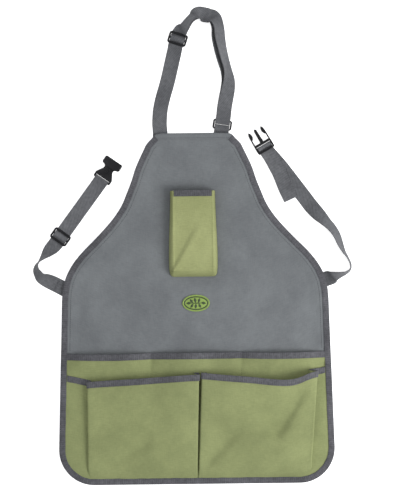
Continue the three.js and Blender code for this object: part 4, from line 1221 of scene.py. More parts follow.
@dataclass
class Stitching:
    """Rows of lockstitches: each thread dips into the cloth at both ends."""

    finishes: Finishes
    length: float = 2.6
    gap: float = 0.9
    radius: float = 0.3

    def template(self) -> tuple[np.ndarray, list[tuple]]:
        """One stitch along X: five rings of five points, closed at both ends.

        Returns:
            Its points and its faces.
        """
        rings = [
            (-0.5, -0.35, 0.5), (-0.36, 0.3, 0.95), (0, 0.55, 1.0), (0.36, 0.3, 0.95),
            (0.5, -0.35, 0.5),
        ]
        sides = 5
        points = []
        for along, rise, thick in rings:
            for k in range(sides):
                turn = math.tau * k / sides
                points.append((
                    along * self.length,
                    self.radius * thick * math.cos(turn),
                    self.radius * (rise + thick * math.sin(turn)),
                ))
        faces = []
        for i in range(len(rings) - 1):
            for k in range(sides):
                m = (k + 1) % sides
                p, q = i * sides, (i + 1) * sides
                faces.append((q + k, q + m, p + m, p + k))
        last = (len(rings) - 1) * sides
        faces.append(tuple(range(sides)))
        faces.append(tuple(range(last, last + sides))[::-1])
        return np.array(points), faces

    def sew(
        self, name: str, runs: Sequence[tuple[np.ndarray, np.ndarray]], slot: Slot,
        material: Material | None = None,
    ) -> Piece:
        """Sews rows of stitches.

        Args:
            name: The piece's name.
            runs: For each row, its points on the cloth and the cloth's normals there.
            slot: The record's slot.
            material: The thread, or None for the grey one.

        Returns:
            One piece with every stitch.
        """
        shape, shape_faces = self.template()
        points, faces = [], []
        for line, normals in runs:
            both = even_run(np.concatenate([line, normals], axis=1), (self.length + self.gap) / 2)
            for k in range(1, len(both) - 1, 2):
                origin = both[k, :3]
                along = unit(both[k + 1, :3] - both[k - 1, :3])
                up = unit(both[k, 3:])
                side = unit(np.cross(up, along))
                up = np.cross(along, side)
                start = len(points) * len(shape)
                points.append(
                    origin + shape[:, :1] * along + shape[:, 1:2] * side + shape[:, 2:] * up
                )
                faces += [tuple(start + index for index in face) for face in shape_faces]
        piece = mesh_piece(name, np.concatenate(points), faces)
        return dress(piece, material or self.finishes.thread, slot)


# Panel with its binding and hem


@dataclass(frozen=True)
class Clearing:
    """An oval of the panel that something sewn on it keeps flat."""

    x: float
    y: float
    half_width: float
    half_height: float
    start: float
    softness: float

    def free(self, x: np.ndarray, y: np.ndarray) -> np.ndarray:
        """0 in the oval, rising to 1 outside it."""
        away = np.hypot((x - self.x) / self.half_width, (y - self.y) / self.half_height)
        return ease((away - self.start) / self.softness)


PATCH_CLEARING = Clearing(PATCH_X, PATCH_Y, 30.0, 21.0, 0.9, 0.8)
HOLSTER_CLEARING = Clearing(-2.5, 89.0, 56.0, 92.0, 0.85, 0.5)


@dataclass
class Panel:
    """The body of the apron, the tape round its edge and the hem across the bib."""

    outline: Outline
    layers: Layers
    finishes: Finishes
    stitching: Stitching
    rows: int = 150
    columns: int = 121
    wave: float = 0.9
    seam_inset: float = 15.0
    corner_drop: float = 2.4

    def build(self) -> list[Piece]:
        """Makes the panel, its binding and its hem, with their stitches.

        Returns:
            The panel, then all that is sewn to it.
        """
        panel = self.cloth()
        binding, binding_stitches = self.binding()
        hem, hem_stitches = self.hem()
        with_it = [binding, binding_stitches, hem, hem_stitches, self.edge_seam()]
        return [panel, *with_it]

    def cloth(self) -> Piece:
        """The panel's wall, with faint waves where it lies on the floor."""
        inset = STOCK.tape + STOCK.gap
        y = np.linspace(TOP_Y - inset, HEM_Y + inset, self.rows)[:, None]
        half = self.outline.width_at(inset, y)
        x = half * np.linspace(-1, 1, self.columns)[None, :]
        y = np.repeat(y, self.columns, axis=1)
        grid = np.stack([x, y, self.height(x, y)], 2)
        piece = cloth_wall("panel_cloth", grid, STOCK.cloth)
        return dress(piece, self.finishes.panel, Slot.PANEL, "body_panel")

    def height(self, x: np.ndarray, y: np.ndarray) -> np.ndarray:
        """The panel's middle: broad soft folds and faint wrinkles where nothing holds it.

        Args:
            x: Places across.
            y: Places up.

        Returns:
            The height of its middle at each place.
        """
        distance, _ = self.outline.nearest(x, y)
        calm = ease((distance - 18) / 40)
        folds = self.wave * (1 + ripples(x, y, 150, 3)) + 0.22 * (1 + ripples(x, y, 44, 4))
        sweep = (x + 0.62 * y + 60) / 40
        folds = folds + 0.9 * np.exp(-(sweep**2)) * ease((40 - y) / 60)
        covered = ease((y - TOOL_MOUTH_Y - 4) / 30)
        free = calm * covered * PATCH_CLEARING.free(x, y) * HOLSTER_CLEARING.free(x, y)
        return self.layers.panel(x, y) + folds * free

    def edge_seam(self) -> Piece:
        """The row of stitches that holds the turned edge down, inside the binding."""
        line = self.outline.inset(self.seam_inset)
        line = line[(line[:, 1] > TOOL_MOUTH_Y + 4) & (line[:, 1] < TOP_Y - 22)]
        runs = []
        for sign in (-1.0, 1.0):
            x, y = line[:, 0] * sign, line[:, 1]
            z = self.height(x, y) + STOCK.cloth / 2
            runs.append((np.stack([x, y, z], 1), straight_up(len(x))))
        return self.stitching.sew("edge_seam", runs, Slot.PANEL, self.finishes.dark_thread)

    def corner_index(self) -> int:
        """The outline's point where the hem gives way to the binding."""
        return int(np.argmax(self.outline.half[:, 1] < TOP_Y - self.corner_drop))

    def tape_section(self, lift: np.ndarray, layers: np.ndarray, pinch: np.ndarray) -> np.ndarray:
        """Sections of a tape folded over the edge, pressed down along its stitches.

        Args:
            lift: Height of the lower ply at each place.
            layers: Thickness of what the tape holds.
            pinch: A small unevenness of the tape's inner edge.

        Returns:
            The section's corners at each place.
        """
        t, width = STOCK.tape, STOCK.tape_width
        height = 2 * t + 2 * STOCK.gap + layers
        one = np.ones_like(height)
        rows = [
            (width + pinch, 0.25 * one), (width + pinch, (t - 0.1) * one), (t, t * one),
            (t, height - t), (width + pinch, height - t), (width + pinch, height - 0.45),
            (width - 0.4 + pinch, height - 0.2), (width - 2.1, height - 0.32),
            (width * 0.55, height - 0.02), (t * 1.4, height), (t * 0.5, height - 0.3),
            (t * 0.1, height - 1.0), (0 * one, height * 0.5), (t * 0.1, 0.9 * one),
            (t * 0.5, 0.25 * one), (t * 1.4, 0 * one), (width * 0.6, 0 * one),
        ]
        section = [np.stack([np.broadcast_to(a, height.shape), b + lift], 1) for a, b in rows]
        return np.stack(section, axis=1)

    def held_layers(self, y: np.ndarray) -> np.ndarray:
        """Thickness under the binding at a height: the panel, then each pocket as well."""
        sheet = STOCK.cloth + STOCK.gap
        tool = clamp01((TOOL_MOUTH_Y + 11 - y) / 9)
        front = clamp01((FRONT_MOUTH_Y + 20 - y) / 9)
        return STOCK.cloth + sheet * tool + sheet * front

    def binding(self) -> tuple[Piece, Piece]:
        """The tape from one corner of the bib round the hem to the other, and its stitches.

        Returns:
            The tape, then its stitches.
        """
        start = self.corner_index()
        right, inward = self.outline.half[start:], self.outline.inward[start:]
        mirror = np.array([-1.0, 1.0])
        line = np.concatenate([right * mirror, right[:-1][::-1]])
        into = np.concatenate([inward * mirror, inward[:-1][::-1]])
        side = np.where(line[:, 0] < 0, -1, 1)
        lift = edge_lift(line[:, 1], side)
        layers = self.held_layers(line[:, 1])
        along = np.arange(len(line)) * self.outline.spacing
        pinch = 0.35 * ripples(along, along * 0, 22, 5)
        flat = np.zeros(len(line))
        frames = Frames(
            np.stack([line[:, 0], line[:, 1], flat], 1),
            np.stack([into[:, 0], into[:, 1], flat], 1),
            straight_up(len(line)),
        )
        tape = swept("binding_tape", frames, self.tape_section(lift, layers, pinch))
        dress(tape, self.finishes.tape, Slot.TAPE, "edge_binding")
        top = 2 * STOCK.tape + 2 * STOCK.gap + layers + lift
        run = frames.at(STOCK.tape_width - 2.1, top - 0.3)
        stitches = self.stitching.sew("binding_stitches", [(run, frames.b)], Slot.TAPE)
        return tape, stitches

    def hem(self) -> tuple[Piece, Piece]:
        """The bib's top edge, folded over in the panel's own cloth and sewn down.

        Returns:
            The hem, then its stitches.
        """
        last = self.corner_index()
        flat_half = self.outline.bib_flat_half
        top = self.outline.half[: last + 1]
        flat_x = np.linspace(0, flat_half, 40)
        flat_run = np.stack([flat_x, np.full(len(flat_x), TOP_Y)], 1)
        right = np.concatenate([flat_run, top[top[:, 0] > flat_half + 0.5]])
        right[-1] -= unit(right[-1] - right[-2]) * STOCK.gap
        line = np.concatenate([(right * (-1, 1))[::-1], right[1:]])
        x, y = line[:, 0], line[:, 1]
        turn = ease((np.abs(x) - flat_half) / (right[-1, 0] - flat_half))[:, None]
        mitre = self.outline.inward[last] * np.stack([np.sign(x), np.ones(len(x))], 1)
        lift = edge_lift(np.full(len(x), TOP_Y), np.sign(x))
        flat = np.zeros(len(x))
        into = unit((1 - turn) * np.array([0.0, -1.0]) + turn * mitre)
        into = np.concatenate([into, flat[:, None]], axis=1)
        frames = Frames(
            np.stack([x, y, flat], 1), into, straight_up(len(x)),
        )
        pinch = 0.3 * ripples(x, flat, 24, 8)
        layers = np.full(len(x), STOCK.cloth)
        hem = swept("bib_top_hem", frames, self.tape_section(lift, layers, pinch))
        dress(hem, self.finishes.panel, Slot.PANEL, "bib_hem")
        top = 2 * STOCK.tape + 2 * STOCK.gap + layers + lift
        runs = [(frames.at(depth, top - 0.25), frames.b) for depth in (1.8, 8.3)]
        stitches = self.stitching.sew("hem_stitches", runs, Slot.PANEL)
        return hem, stitches


# Pockets


@dataclass
class MouthTape:
    """Tape sewn over a pocket's mouth: one ply down its face and a lip over the raw edge."""

    finishes: Finishes
    stitching: Stitching
    width: float = 9.4

    def build(self, name: str, node_name: str, grid: Grid, first: int, last: int) -> list:
        """Binds the first row of a pocket's grid.

        Args:
            name: The piece's name.
            node_name: The CAD node that it stands for.
            grid: The pocket's dense grid.
            first: Its first column under the tape.
            last: Its last column under the tape.

        Returns:
            The tape and its stitches.
        """
        normals = surface_normals(grid)
        row = slice(first, last + 1)
        reach = 3
        down = unit(grid[reach, row] - grid[0, row])
        frames = Frames(grid[0, row], down, unit(normals[0, row] + normals[reach, row]))
        inner = -STOCK.cloth / 2
        outer = STOCK.cloth / 2 + 1.6 * STOCK.gap
        t, g, width = STOCK.tape, STOCK.gap, self.width
        section = np.array([
            (-g - t * 0.8, inner), (-g, inner), (-g, outer), (width, outer - 0.25),
            (width, outer + t * 0.55), (width - 0.5, outer + t * 0.75),
            (width - 2.0, outer + t * 0.68), (width * 0.5, outer + t), (0.6, outer + t),
            (-g - t * 0.5, outer + t * 0.8), (-g - t, outer + t * 0.2),
        ])
        tape = swept(name, frames, section)
        dress(tape, self.finishes.tape, Slot.TAPE, node_name)
        run = frames.at(width - 2.0, outer + t * 0.7)
        stitches = self.stitching.sew(name + "_stitches", [(run, frames.b)], Slot.TAPE)
        return [tape, stitches]


@dataclass
class Holster:
    """The deep box pocket on the bib."""

    finishes: Finishes
    stitching: Stitching
    mouth_tape: MouthTape
    left: float = -42.5
    width: float = 80.0
    top: float = 161.5
    length: float = 145.0
    depth: float = 16.0
    crease: float = 3.4
    steps: int = 5

    def build(self) -> list[Piece]:
        """Makes the holster with its tape and its side seams.

        Returns:
            The holster, then all that is sewn to it.
        """
        grid = self.grid()
        piece = cloth_wall("holster_cloth", grid, STOCK.cloth)
        # The holster wears the pockets' green painted lighter, as painted light on the raised box.
        dress(piece, self.finishes.holster, Slot.POCKET, "holster_pocket")
        columns = len(HOLSTER_COLUMNS)
        tape = self.mouth_tape.build(
            "holster_mouth_tape", "holster_binding", grid, 4 * self.steps, (columns - 5) * self.steps,
        )
        stitches = self.seams(grid)
        return [piece, *tape, stitches]

    def grid(self) -> Grid:
        """The holster's dense grid, with its crease and faint waves.

        Returns:
            Its points, rows down and columns across.
        """
        base = STOCK.cloth * 1.5 + STOCK.gap
        control = np.zeros((len(HOLSTER_ROWS), len(HOLSTER_COLUMNS), 3))
        for i, row in enumerate(HOLSTER_ROWS):
            for j, column in enumerate(HOLSTER_COLUMNS):
                drawn = (0.5 - column.across) * 2 * row.tuck
                rise = column.rise * row.rise
                control[i, j] = (
                    self.left + self.width * (column.across + drawn),
                    self.top - self.length * row.down,
                    base + self.depth * rise,
                )
        grid = smoothed_grid(control, self.steps, GRID_SOFTNESS)
        across = (grid[..., 0] - self.left) / self.width
        down = (self.top - grid[..., 1]) / self.length
        risen = ease((grid[..., 2] - base - self.depth * 0.55) / (self.depth * 0.3))
        grid[..., 2] += risen * self.folds(across, down)
        grid[..., 2] = np.maximum(grid[..., 2], base)
        return grid

    def folds(self, across: np.ndarray, down: np.ndarray) -> np.ndarray:
        """Faint waves, pinched edges round the face, and the crease up from the lower left.

        Args:
            across: Place across, as a share of the width.
            down: Place down, as a share of the length.

        Returns:
            The rise there.
        """
        waves = 0.4 * ripples(across * self.width, down * self.length, 46, 11)
        pinched = np.zeros_like(across)
        for edge in (0.085, 0.925):
            pinched += np.exp(-(((across - edge) / 0.018) ** 2))
        pinched += np.exp(-(((down - 0.925) / 0.012) ** 2))
        along = (0.94 - down) / 0.60
        centre = 0.07 + 0.62 * clamp01(along)
        side = (across - centre) / 0.026
        shape = np.where(side > 0, np.exp(-((side / 5.0) ** 2)), np.exp(-(side**2)))
        fade = ease((along + 0.03) / 0.05) * ease((1.0 - along) / 0.45)
        return waves + 0.9 * pinched + self.crease * 0.9 * shape * fade

    def seams(self, grid: Grid) -> Piece:
        """Stitches down both sides, just inside the sewn edge.

        Args:
            grid: The holster's dense grid.

        Returns:
            The stitches as one piece.
        """
        normals = surface_normals(grid)
        lift = STOCK.cloth / 2
        side_columns = (1, grid.shape[1] - 2)
        runs = [(grid[:, j] + normals[:, j] * lift, normals[:, j]) for j in side_columns]
        return self.stitching.sew(
            "holster_stitches", runs, Slot.POCKET, self.finishes.green_thread,
        )


@dataclass
class ToolPocket:
    """The wide pocket behind the front ones, sewn down into three compartments."""

    outline: Outline
    layers: Layers
    finishes: Finishes
    stitching: Stitching
    mouth_tape: MouthTape
    rows: int = 90
    columns: int = 181
    division_thread: float = 0.45

    def build(self) -> list[Piece]:
        """Makes the pocket with its tape and its two division seams.

        Returns:
            The pocket, then all that is sewn to it.
        """
        grid = self.grid()
        piece = cloth_wall("tool_pocket_cloth", grid, STOCK.cloth)
        dress(piece, self.finishes.pocket, Slot.POCKET, "tool_pocket")
        hidden = int(np.argmax(grid[0, :, 0] > -self.layers.side_stop(np.array(TOOL_MOUTH_Y))))
        tape = self.mouth_tape.build(
            "tool_pocket_mouth_tape", "tool_pocket_binding", grid, hidden - 1, self.columns - hidden,
        )
        stitches = self.divisions()
        return [piece, *tape, stitches]

    def grid(self) -> Grid:
        """Dense points of the pocket, closer together near its mouth."""
        share = np.linspace(0, 1, self.rows)[:, None]
        y = TOOL_MOUTH_Y + (HEM_Y + 5.0 - TOOL_MOUTH_Y) * share
        x = self.outline.width_at(UNDER_BINDING, y) * np.linspace(-1, 1, self.columns)[None, :]
        y = np.repeat(y, self.columns, axis=1)
        sag = 1.2 * np.sin(np.pi * clamp01((np.abs(x) - TOOL_DIVISION_X) / 140)) * (1 - share) ** 6
        z = self.layers.tool(x, y)
        return np.stack([x, y - sag, z], 2)

    def divisions(self) -> Piece:
        """Stitches down both divisions, from the mouth to the hem.

        Returns:
            The stitches as one piece.
        """
        y = np.linspace(TOOL_MOUTH_Y - 1, HEM_Y + 14, 120)
        runs = []
        for x in (-TOOL_DIVISION_X, TOOL_DIVISION_X):
            xs = np.full(len(y), x)
            z = self.layers.tool(xs, y) + STOCK.cloth / 2
            z[y > TOOL_MOUTH_Y - self.mouth_tape.width] += STOCK.tape + 1.5 * STOCK.gap
            runs.append((np.stack([xs, y, z], 1), straight_up(len(y))))
        return replace(self.stitching, radius=self.division_thread).sew(
            "division_stitches", runs, Slot.POCKET, self.finishes.green_thread,
        )


@dataclass
class FrontPocket:
    """One of the two big pleated pockets at the hem."""

    side: Side
    depth: float
    columns: tuple[FrontColumn, ...]
    edge_drops: tuple[float, float]
    outline: Outline
    layers: Layers
    finishes: Finishes
    mouth_tape: MouthTape
    wave: float = 0.8
    steps: int = 7
    pleats: float = 0.3
    bow: float = 1.08

    def build(self) -> list[Piece]:
        """Makes the pocket with its tape.

        Returns:
            The pocket, then its tape and the tape's stitches.
        """
        word = self.side.name.lower()
        grid = self.grid()
        piece = cloth_wall(f"front_pocket_{word}_cloth", grid, STOCK.cloth)
        dress(piece, self.finishes.pocket, Slot.POCKET, f"front_pocket_{word}")
        count = len(self.columns)
        spans = (1, count + 1) if self.side is Side.LEFT else (0, count)
        tape = self.mouth_tape.build(
            f"front_pocket_{word}_mouth_tape", f"front_pocket_{word}_binding", grid,
            spans[0] * self.steps, spans[1] * self.steps,
        )
        return [piece, *tape]

    def height_for(self, drop: float, row: int, lows: Sequence[float]) -> float:
        """Y of one of a column's points.

        Args:
            drop: How far the mouth hangs there, as a share of the pocket's length.
            row: The row's number.
            lows: Heights of the last rows, which are the same for all columns.

        Returns:
            The Y.
        """
        mouth = FRONT_MOUTH_Y - drop * (FRONT_MOUTH_Y - HEM_Y)
        corner_y = HEM_Y + self.outline.corner
        if row < len(FRONT_ROW_SHARES):
            return mouth + (corner_y - mouth) * FRONT_ROW_SHARES[row]
        return lows[row - len(FRONT_ROW_SHARES)]

    def control(self) -> Grid:
        """The pocket's control points: its side under the binding, its pleats and its face.

        Returns:
            The points, rows down and columns across.
        """
        corner = self.outline.corner
        lows = (
            HEM_Y + corner, HEM_Y + corner * 0.66, HEM_Y + corner * 0.4,
            HEM_Y + STOCK.tape_width + 1, HEM_Y + 5.0,
        )
        length = FRONT_MOUTH_Y - HEM_Y
        sign = self.side.value
        outermost = 0 if self.side is Side.LEFT else len(self.columns) - 1
        rows = []
        for i, row_rise in enumerate(FRONT_ROW_RISES):
            line = []
            for k, column in enumerate(self.columns):
                y = self.height_for(column.drop, i, lows)
                fallen = (FRONT_MOUTH_Y - y) / length
                limit = float(self.layers.side_stop(np.array(y))) - 1.5 * (1 + abs(k - outermost))
                share = column.top + (column.foot - column.top) * float(clamp01(fallen))
                x = sign * min(sign * share * self.outline.hem_half, limit)
                opened = float(self.layers.openness(np.array([x]), np.array([y]))[0])
                rise = self.depth * column.rise * row_rise * opened**0.5
                if column.kind is Fold.FACE:
                    rise *= 1 + self.sag(column.top, fallen)
                line.append((x, y, 2 * STOCK.cloth + rise))
            edge_y, inner_y = (self.height_for(drop, i, lows) for drop in self.edge_drops)
            edge_x = sign * float(self.outline.width_at(UNDER_BINDING, edge_y))
            inner_x = sign * float(self.layers.side_stop(np.array(inner_y)))
            sides = [(edge_x, edge_y, 0.0), (inner_x, inner_y, 0.0)]
            rows.append(sides + line if self.side is Side.LEFT else line + sides[::-1])
        return self.above_tool_pocket(np.array(rows))

    def above_tool_pocket(self, grid: Grid) -> Grid:
        """Lifts the cloth clear of the pocket behind it."""
        x, y = grid[..., 0], grid[..., 1]
        room = STOCK.cloth + STOCK.gap + 2 * STOCK.gap * self.layers.openness(x, y)
        grid[..., 2] = np.maximum(grid[..., 2], self.layers.tool(x, y) + room)
        return grid

    def grid(self) -> Grid:
        """The dense pocket, with rounded folds and soft dents in its face."""
        grid = smoothed_grid(self.control(), self.steps, GRID_SOFTNESS)
        x, y = grid[..., 0], grid[..., 1]
        low = self.layers.tool(x, y) + STOCK.cloth + STOCK.gap
        free = ease((grid[..., 2] - low - 1.0) / 5.0)
        grid[..., 2] += self.wave * free * ripples(x, y, 95, 21 + self.side.value)
        grid[..., 2] += 0.15 * free * ripples(x, y, 30, 31 + self.side.value)
        grid[..., 2] += free * self.dents(x, y)
        return self.above_tool_pocket(grid)

    def dents(self, x: np.ndarray, y: np.ndarray) -> np.ndarray:
        """Soft valleys in the pocket's face.

        Args:
            x: Places across.
            y: Places up.

        Returns:
            The rise there, below zero in a valley.
        """
        total = np.zeros_like(x)
        fade = 14
        for valley in DENTS[self.side]:
            start, end = np.array(valley.start), np.array(valley.end)
            length = float(np.linalg.norm(end - start))
            along = (end - start) / length
            t = (x - start[0]) * along[0] + (y - start[1]) * along[1]
            away = (x - start[0]) * -along[1] + (y - start[1]) * along[0]
            ends = ease((t + fade) / (2 * fade)) * ease((length + fade - t) / (2 * fade))
            wide = np.where(away < 0, valley.left_width, valley.right_width)
            total -= valley.depth * np.exp(-((away / wide) ** 2)) * ends
        return total

    def sag(self, top: float, fallen: float) -> float:
        """Broad dent in the pocket's face.

        Args:
            top: The column's place at the mouth.
            fallen: How far down the pocket the point is, from 0 to 1.

        Returns:
            The change of the rise, as a share of it.
        """
        if self.side is Side.LEFT:
            across = math.exp(-(((top + 0.42) / 0.22) ** 2))
            return -0.10 * math.sin(math.pi * float(clamp01(fallen))) * across
        near = math.exp(-(((top - 0.56) / 0.16) ** 2) - ((fallen - 0.5) / 0.22) ** 2)
        return -0.16 * near


# Patch


@dataclass
class Patch:
    """An oval embroidered patch: a light overlocked rim, a dark line inside it, a light satin
    ground and a plain dark sprig of leaves."""

    finishes: Finishes
    width: float = 46.0
    height: float = 28.0
    thickness: float = 1.6
    x: float = PATCH_X
    y: float = PATCH_Y
    low: float = 1.7
    rim: float = 2.2

    def build(self) -> list[Piece]:
        """Makes the ground, the two rims and the sprig."""
        ground = self.ground()
        rim = self.threads_round("patch_rim", 0.9, self.rim, self.finishes.patch_ground)
        line = self.threads_round("patch_line", 3.3, 1.9, self.finishes.patch_dark)
        return [ground, rim, line, self.sprig()]

    def ground(self) -> Piece:
        """The satin-stitched oval with its rounded edge.

        Returns:
            The new piece.
        """
        deselect()
        bpy.ops.mesh.primitive_cylinder_add(
            vertices=64, radius=self.width / 2 * MM, depth=self.thickness * 0.7 * MM,
            location=(self.x * MM, self.y * MM, (self.low + self.thickness * 0.35) * MM),
        )
        piece = bpy.context.object
        edit_all(piece)
        bpy.ops.transform.resize(value=(1, self.height / self.width, 1))
        end_edit()
        apply_place()
        piece.name = "patch_ground"
        bevel_edges(piece, 0.3, 2)
        soften(piece)
        return dress(piece, self.finishes.patch_ground, Slot.PATCH, "emblem_patch")

    def threads_round(self, name: str, inset: float, width: float, material: Material) -> Piece:
        """A ring of satin threads round the oval, each a short bow across it.

        Args:
            name: The ring's name.
            inset: How far its middle is from the oval's edge.
            width: Its width.
            material: Its thread.

        Returns:
            The new piece.
        """
        count, section = 150, 6
        a, b = self.width / 2 - inset, self.height / 2 - inset
        z = self.low + self.thickness * 0.72
        ring, faces = [], []
        for k in range(count):
            turn = math.tau * k / count
            centre = np.array([self.x + a * math.cos(turn), self.y + b * math.sin(turn), z])
            outward = unit(np.array([math.cos(turn) / a, math.sin(turn) / b, 0.0]))
            radius = width / 2 * (1.0 + 0.12 * (k % 2))
            for m in range(section):
                at = math.tau * m / section
                rise = np.array([0, 0, radius * 0.42 * math.sin(at)])
                ring.append(centre + outward * radius * math.cos(at) + rise)
        for k in range(count):
            for m in range(section):
                p, q = k * section, ((k + 1) % count) * section
                n = (m + 1) % section
                faces.append((p + m, q + m, q + n, p + n))
        piece = mesh_piece(name, np.array(ring), faces)
        return dress(piece, material, Slot.PATCH)

    def sprig(self) -> Piece:
        """A stem and its raised leaves in dark thread, all copies of one leaf.

        Returns:
            The new piece.
        """
        top = self.low + self.thickness * 0.7
        leaves = [
            (-12.5, 0.0, 186, 8.5), (-8.0, 3.6, 128, 8.0), (-7.0, -4.4, 232, 8.0),
            (-1.6, 4.8, 104, 8.5), (-0.6, -5.2, 262, 8.0), (5.0, 4.4, 76, 8.0),
            (6.2, -4.4, 300, 8.0), (12.5, 0.0, 354, 8.5),
        ]
        first = self.leaf()
        made = []
        for x, y, angle, length in leaves:
            size = (length, length * 1.35, length * 1.6)
            made.append(self.leaf_copy(first, (x, y), angle, size, top))
        stem_size = (26, 4.5, 10)
        made.append(self.leaf_copy(first, (0.0, 0.0), 0, stem_size, top))
        bpy.data.objects.remove(first)
        joined = join_pieces("patch_sprig", made, 60)
        return dress(joined, self.finishes.patch_dark, Slot.PATCH)

    def leaf_copy(
        self, first: Piece, place: tuple[float, float], angle: float,
        size: tuple[float, float, float], top: float,
    ) -> Piece:
        """A copy of the leaf with its own mesh.

        Args:
            first: The leaf to copy, a millimetre long.
            place: Where its middle goes, from the patch's middle.
            angle: The way that it points, in degrees.
            size: How many times longer, wider and thicker it is.
            top: Height of the ground under it.

        Returns:
            The copy, its place not yet applied.
        """
        copy = first.copy()
        copy.data = first.data.copy()
        bpy.context.scene.collection.objects.link(copy)
        copy.scale = size
        copy.rotation_euler = (0, 0, math.radians(angle))
        copy.location = ((self.x + place[0]) * MM, (self.y + place[1]) * MM, top * MM)
        return copy

    def leaf(self) -> Piece:
        """One leaf a millimetre long: a flattened ball drawn out to a point at both ends.

        Returns:
            The leaf, at the origin.
        """
        deselect()
        bpy.ops.mesh.primitive_uv_sphere_add(segments=16, ring_count=8, radius=0.5 * MM)
        piece = bpy.context.object
        edit_all(piece)
        bpy.ops.transform.resize(value=(1, 0.42, 0.09))
        end_edit()
        for vertex in piece.data.vertices:
            reach = abs(vertex.co.x) / (0.5 * MM)
            vertex.co.y *= 1 - 0.45 * reach
        return piece


# Webbing


class Station(NamedTuple):
    """A place along a strap in millimetres, with its width's direction."""

    x: float
    y: float
    z: float
    across: tuple[float, float, float]


def station(x: float, y: float, across: float, tilt: float, above: float = 0.0) -> Station:
    """A station whose lower edge rests on the floor or on what lies under it.

    Args:
        x: Place of the strap's middle.
        y: Place of the strap's middle.
        across: Compass angle from the outer edge to the inner one, in degrees.
        tilt: How far the inner edge is raised, in degrees.
        above: Height of what the lower edge rests on.

    Returns:
        The station.
    """
    flat, lean = math.radians(across), math.radians(tilt)
    z = STOCK.web_width / 2 * abs(math.sin(lean)) + STOCK.web / 2 * math.cos(lean) + above
    width = (math.cos(flat) * math.cos(lean), math.sin(flat) * math.cos(lean), math.sin(lean))
    return Station(x, y, z, width)


@dataclass(frozen=True)
class Seat:
    """A fitting's place, its own length running along a heading."""

    x: float
    y: float
    heading: float

    def station(self, along: float, z: float, across: float) -> Station:
        """The webbing's station at a distance along the fitting and a height."""
        turn, flat = math.radians(self.heading), math.radians(across)
        x = self.x + math.cos(turn) * along
        y = self.y + math.sin(turn) * along
        return Station(x, y, z, (math.cos(flat), math.sin(flat), 0.0))

    def place(self, across: float, along: float) -> tuple[float, float]:
        """X and Y of a point of the fitting, given across and along it."""
        turn = math.radians(self.heading)
        x = self.x + math.cos(turn) * along + math.sin(turn) * across
        y = self.y + math.sin(turn) * along - math.cos(turn) * across
        return x, y


BAR_RADIUS = 1.6
LOOP_RADIUS = BAR_RADIUS + STOCK.gap + STOCK.web / 2
FLAT_Z = STOCK.web / 2
SECOND_Z = STOCK.web * 1.5 + STOCK.gap
SLIDER_LENGTH = 21.0
SLIDER_BAR = 4.2
SLIDER_MIDDLE_BAR = 4.4
SLIDER_LOW = 2 * (STOCK.web + STOCK.gap)
MIDDLE_LOW = STOCK.web + 3 * STOCK.gap + 0.2
MIDDLE_HIGH = MIDDLE_LOW + 1.7
RING_LENGTH = 17.0
RING_LEAN = -8.9
PLUG_BAR_RADIUS = 1.25
PLUG_MIDDLE_BAR = 10.5


def turn_round(
    seat: Seat, along: float, across: float, direction: int, slack: float = 0.0
) -> list[Station]:
    """Half a turn of webbing round a bar, from above it to below it.

    Args:
        seat: The fitting's place.
        along: Where the bar is along the fitting.
        across: Compass angle of the webbing's width, in degrees.
        direction: The way that the turn bulges along the fitting, -1 or 1.
        slack: How much further out than a tight turn it goes.

    Returns:
        The stations of the turn.
    """
    centre = LOOP_RADIUS + STOCK.web / 2
    made = []
    for angle in (90, 45, 0, -45, -90):
        turn = math.radians(angle)
        reach = along + direction * (LOOP_RADIUS + slack) * math.cos(turn)
        made.append(seat.station(reach, centre + LOOP_RADIUS * math.sin(turn), across))
    return made


def through_slider(seat: Seat, across: float) -> list[Station]:
    """The webbing's way up over a slider's middle bar and down again.

    Args:
        seat: The slider's place.
        across: Compass angle of the webbing's width, in degrees.

    Returns:
        The stations of the way.
    """
    half = SLIDER_LENGTH / 2
    under = SLIDER_LOW - STOCK.gap - STOCK.web / 2
    over = MIDDLE_HIGH + STOCK.gap + STOCK.web / 2
    bar = SLIDER_MIDDLE_BAR / 2
    ways = [
        (-half - 4, FLAT_Z + 0.6), (-half, under - 0.2), (-half + SLIDER_BAR + 0.4, under),
        (-bar - 0.2, over), (bar + 0.2, over), (half - SLIDER_BAR - 0.4, under), (half, under),
    ]
    return [seat.station(along, z, across) for along, z in ways]


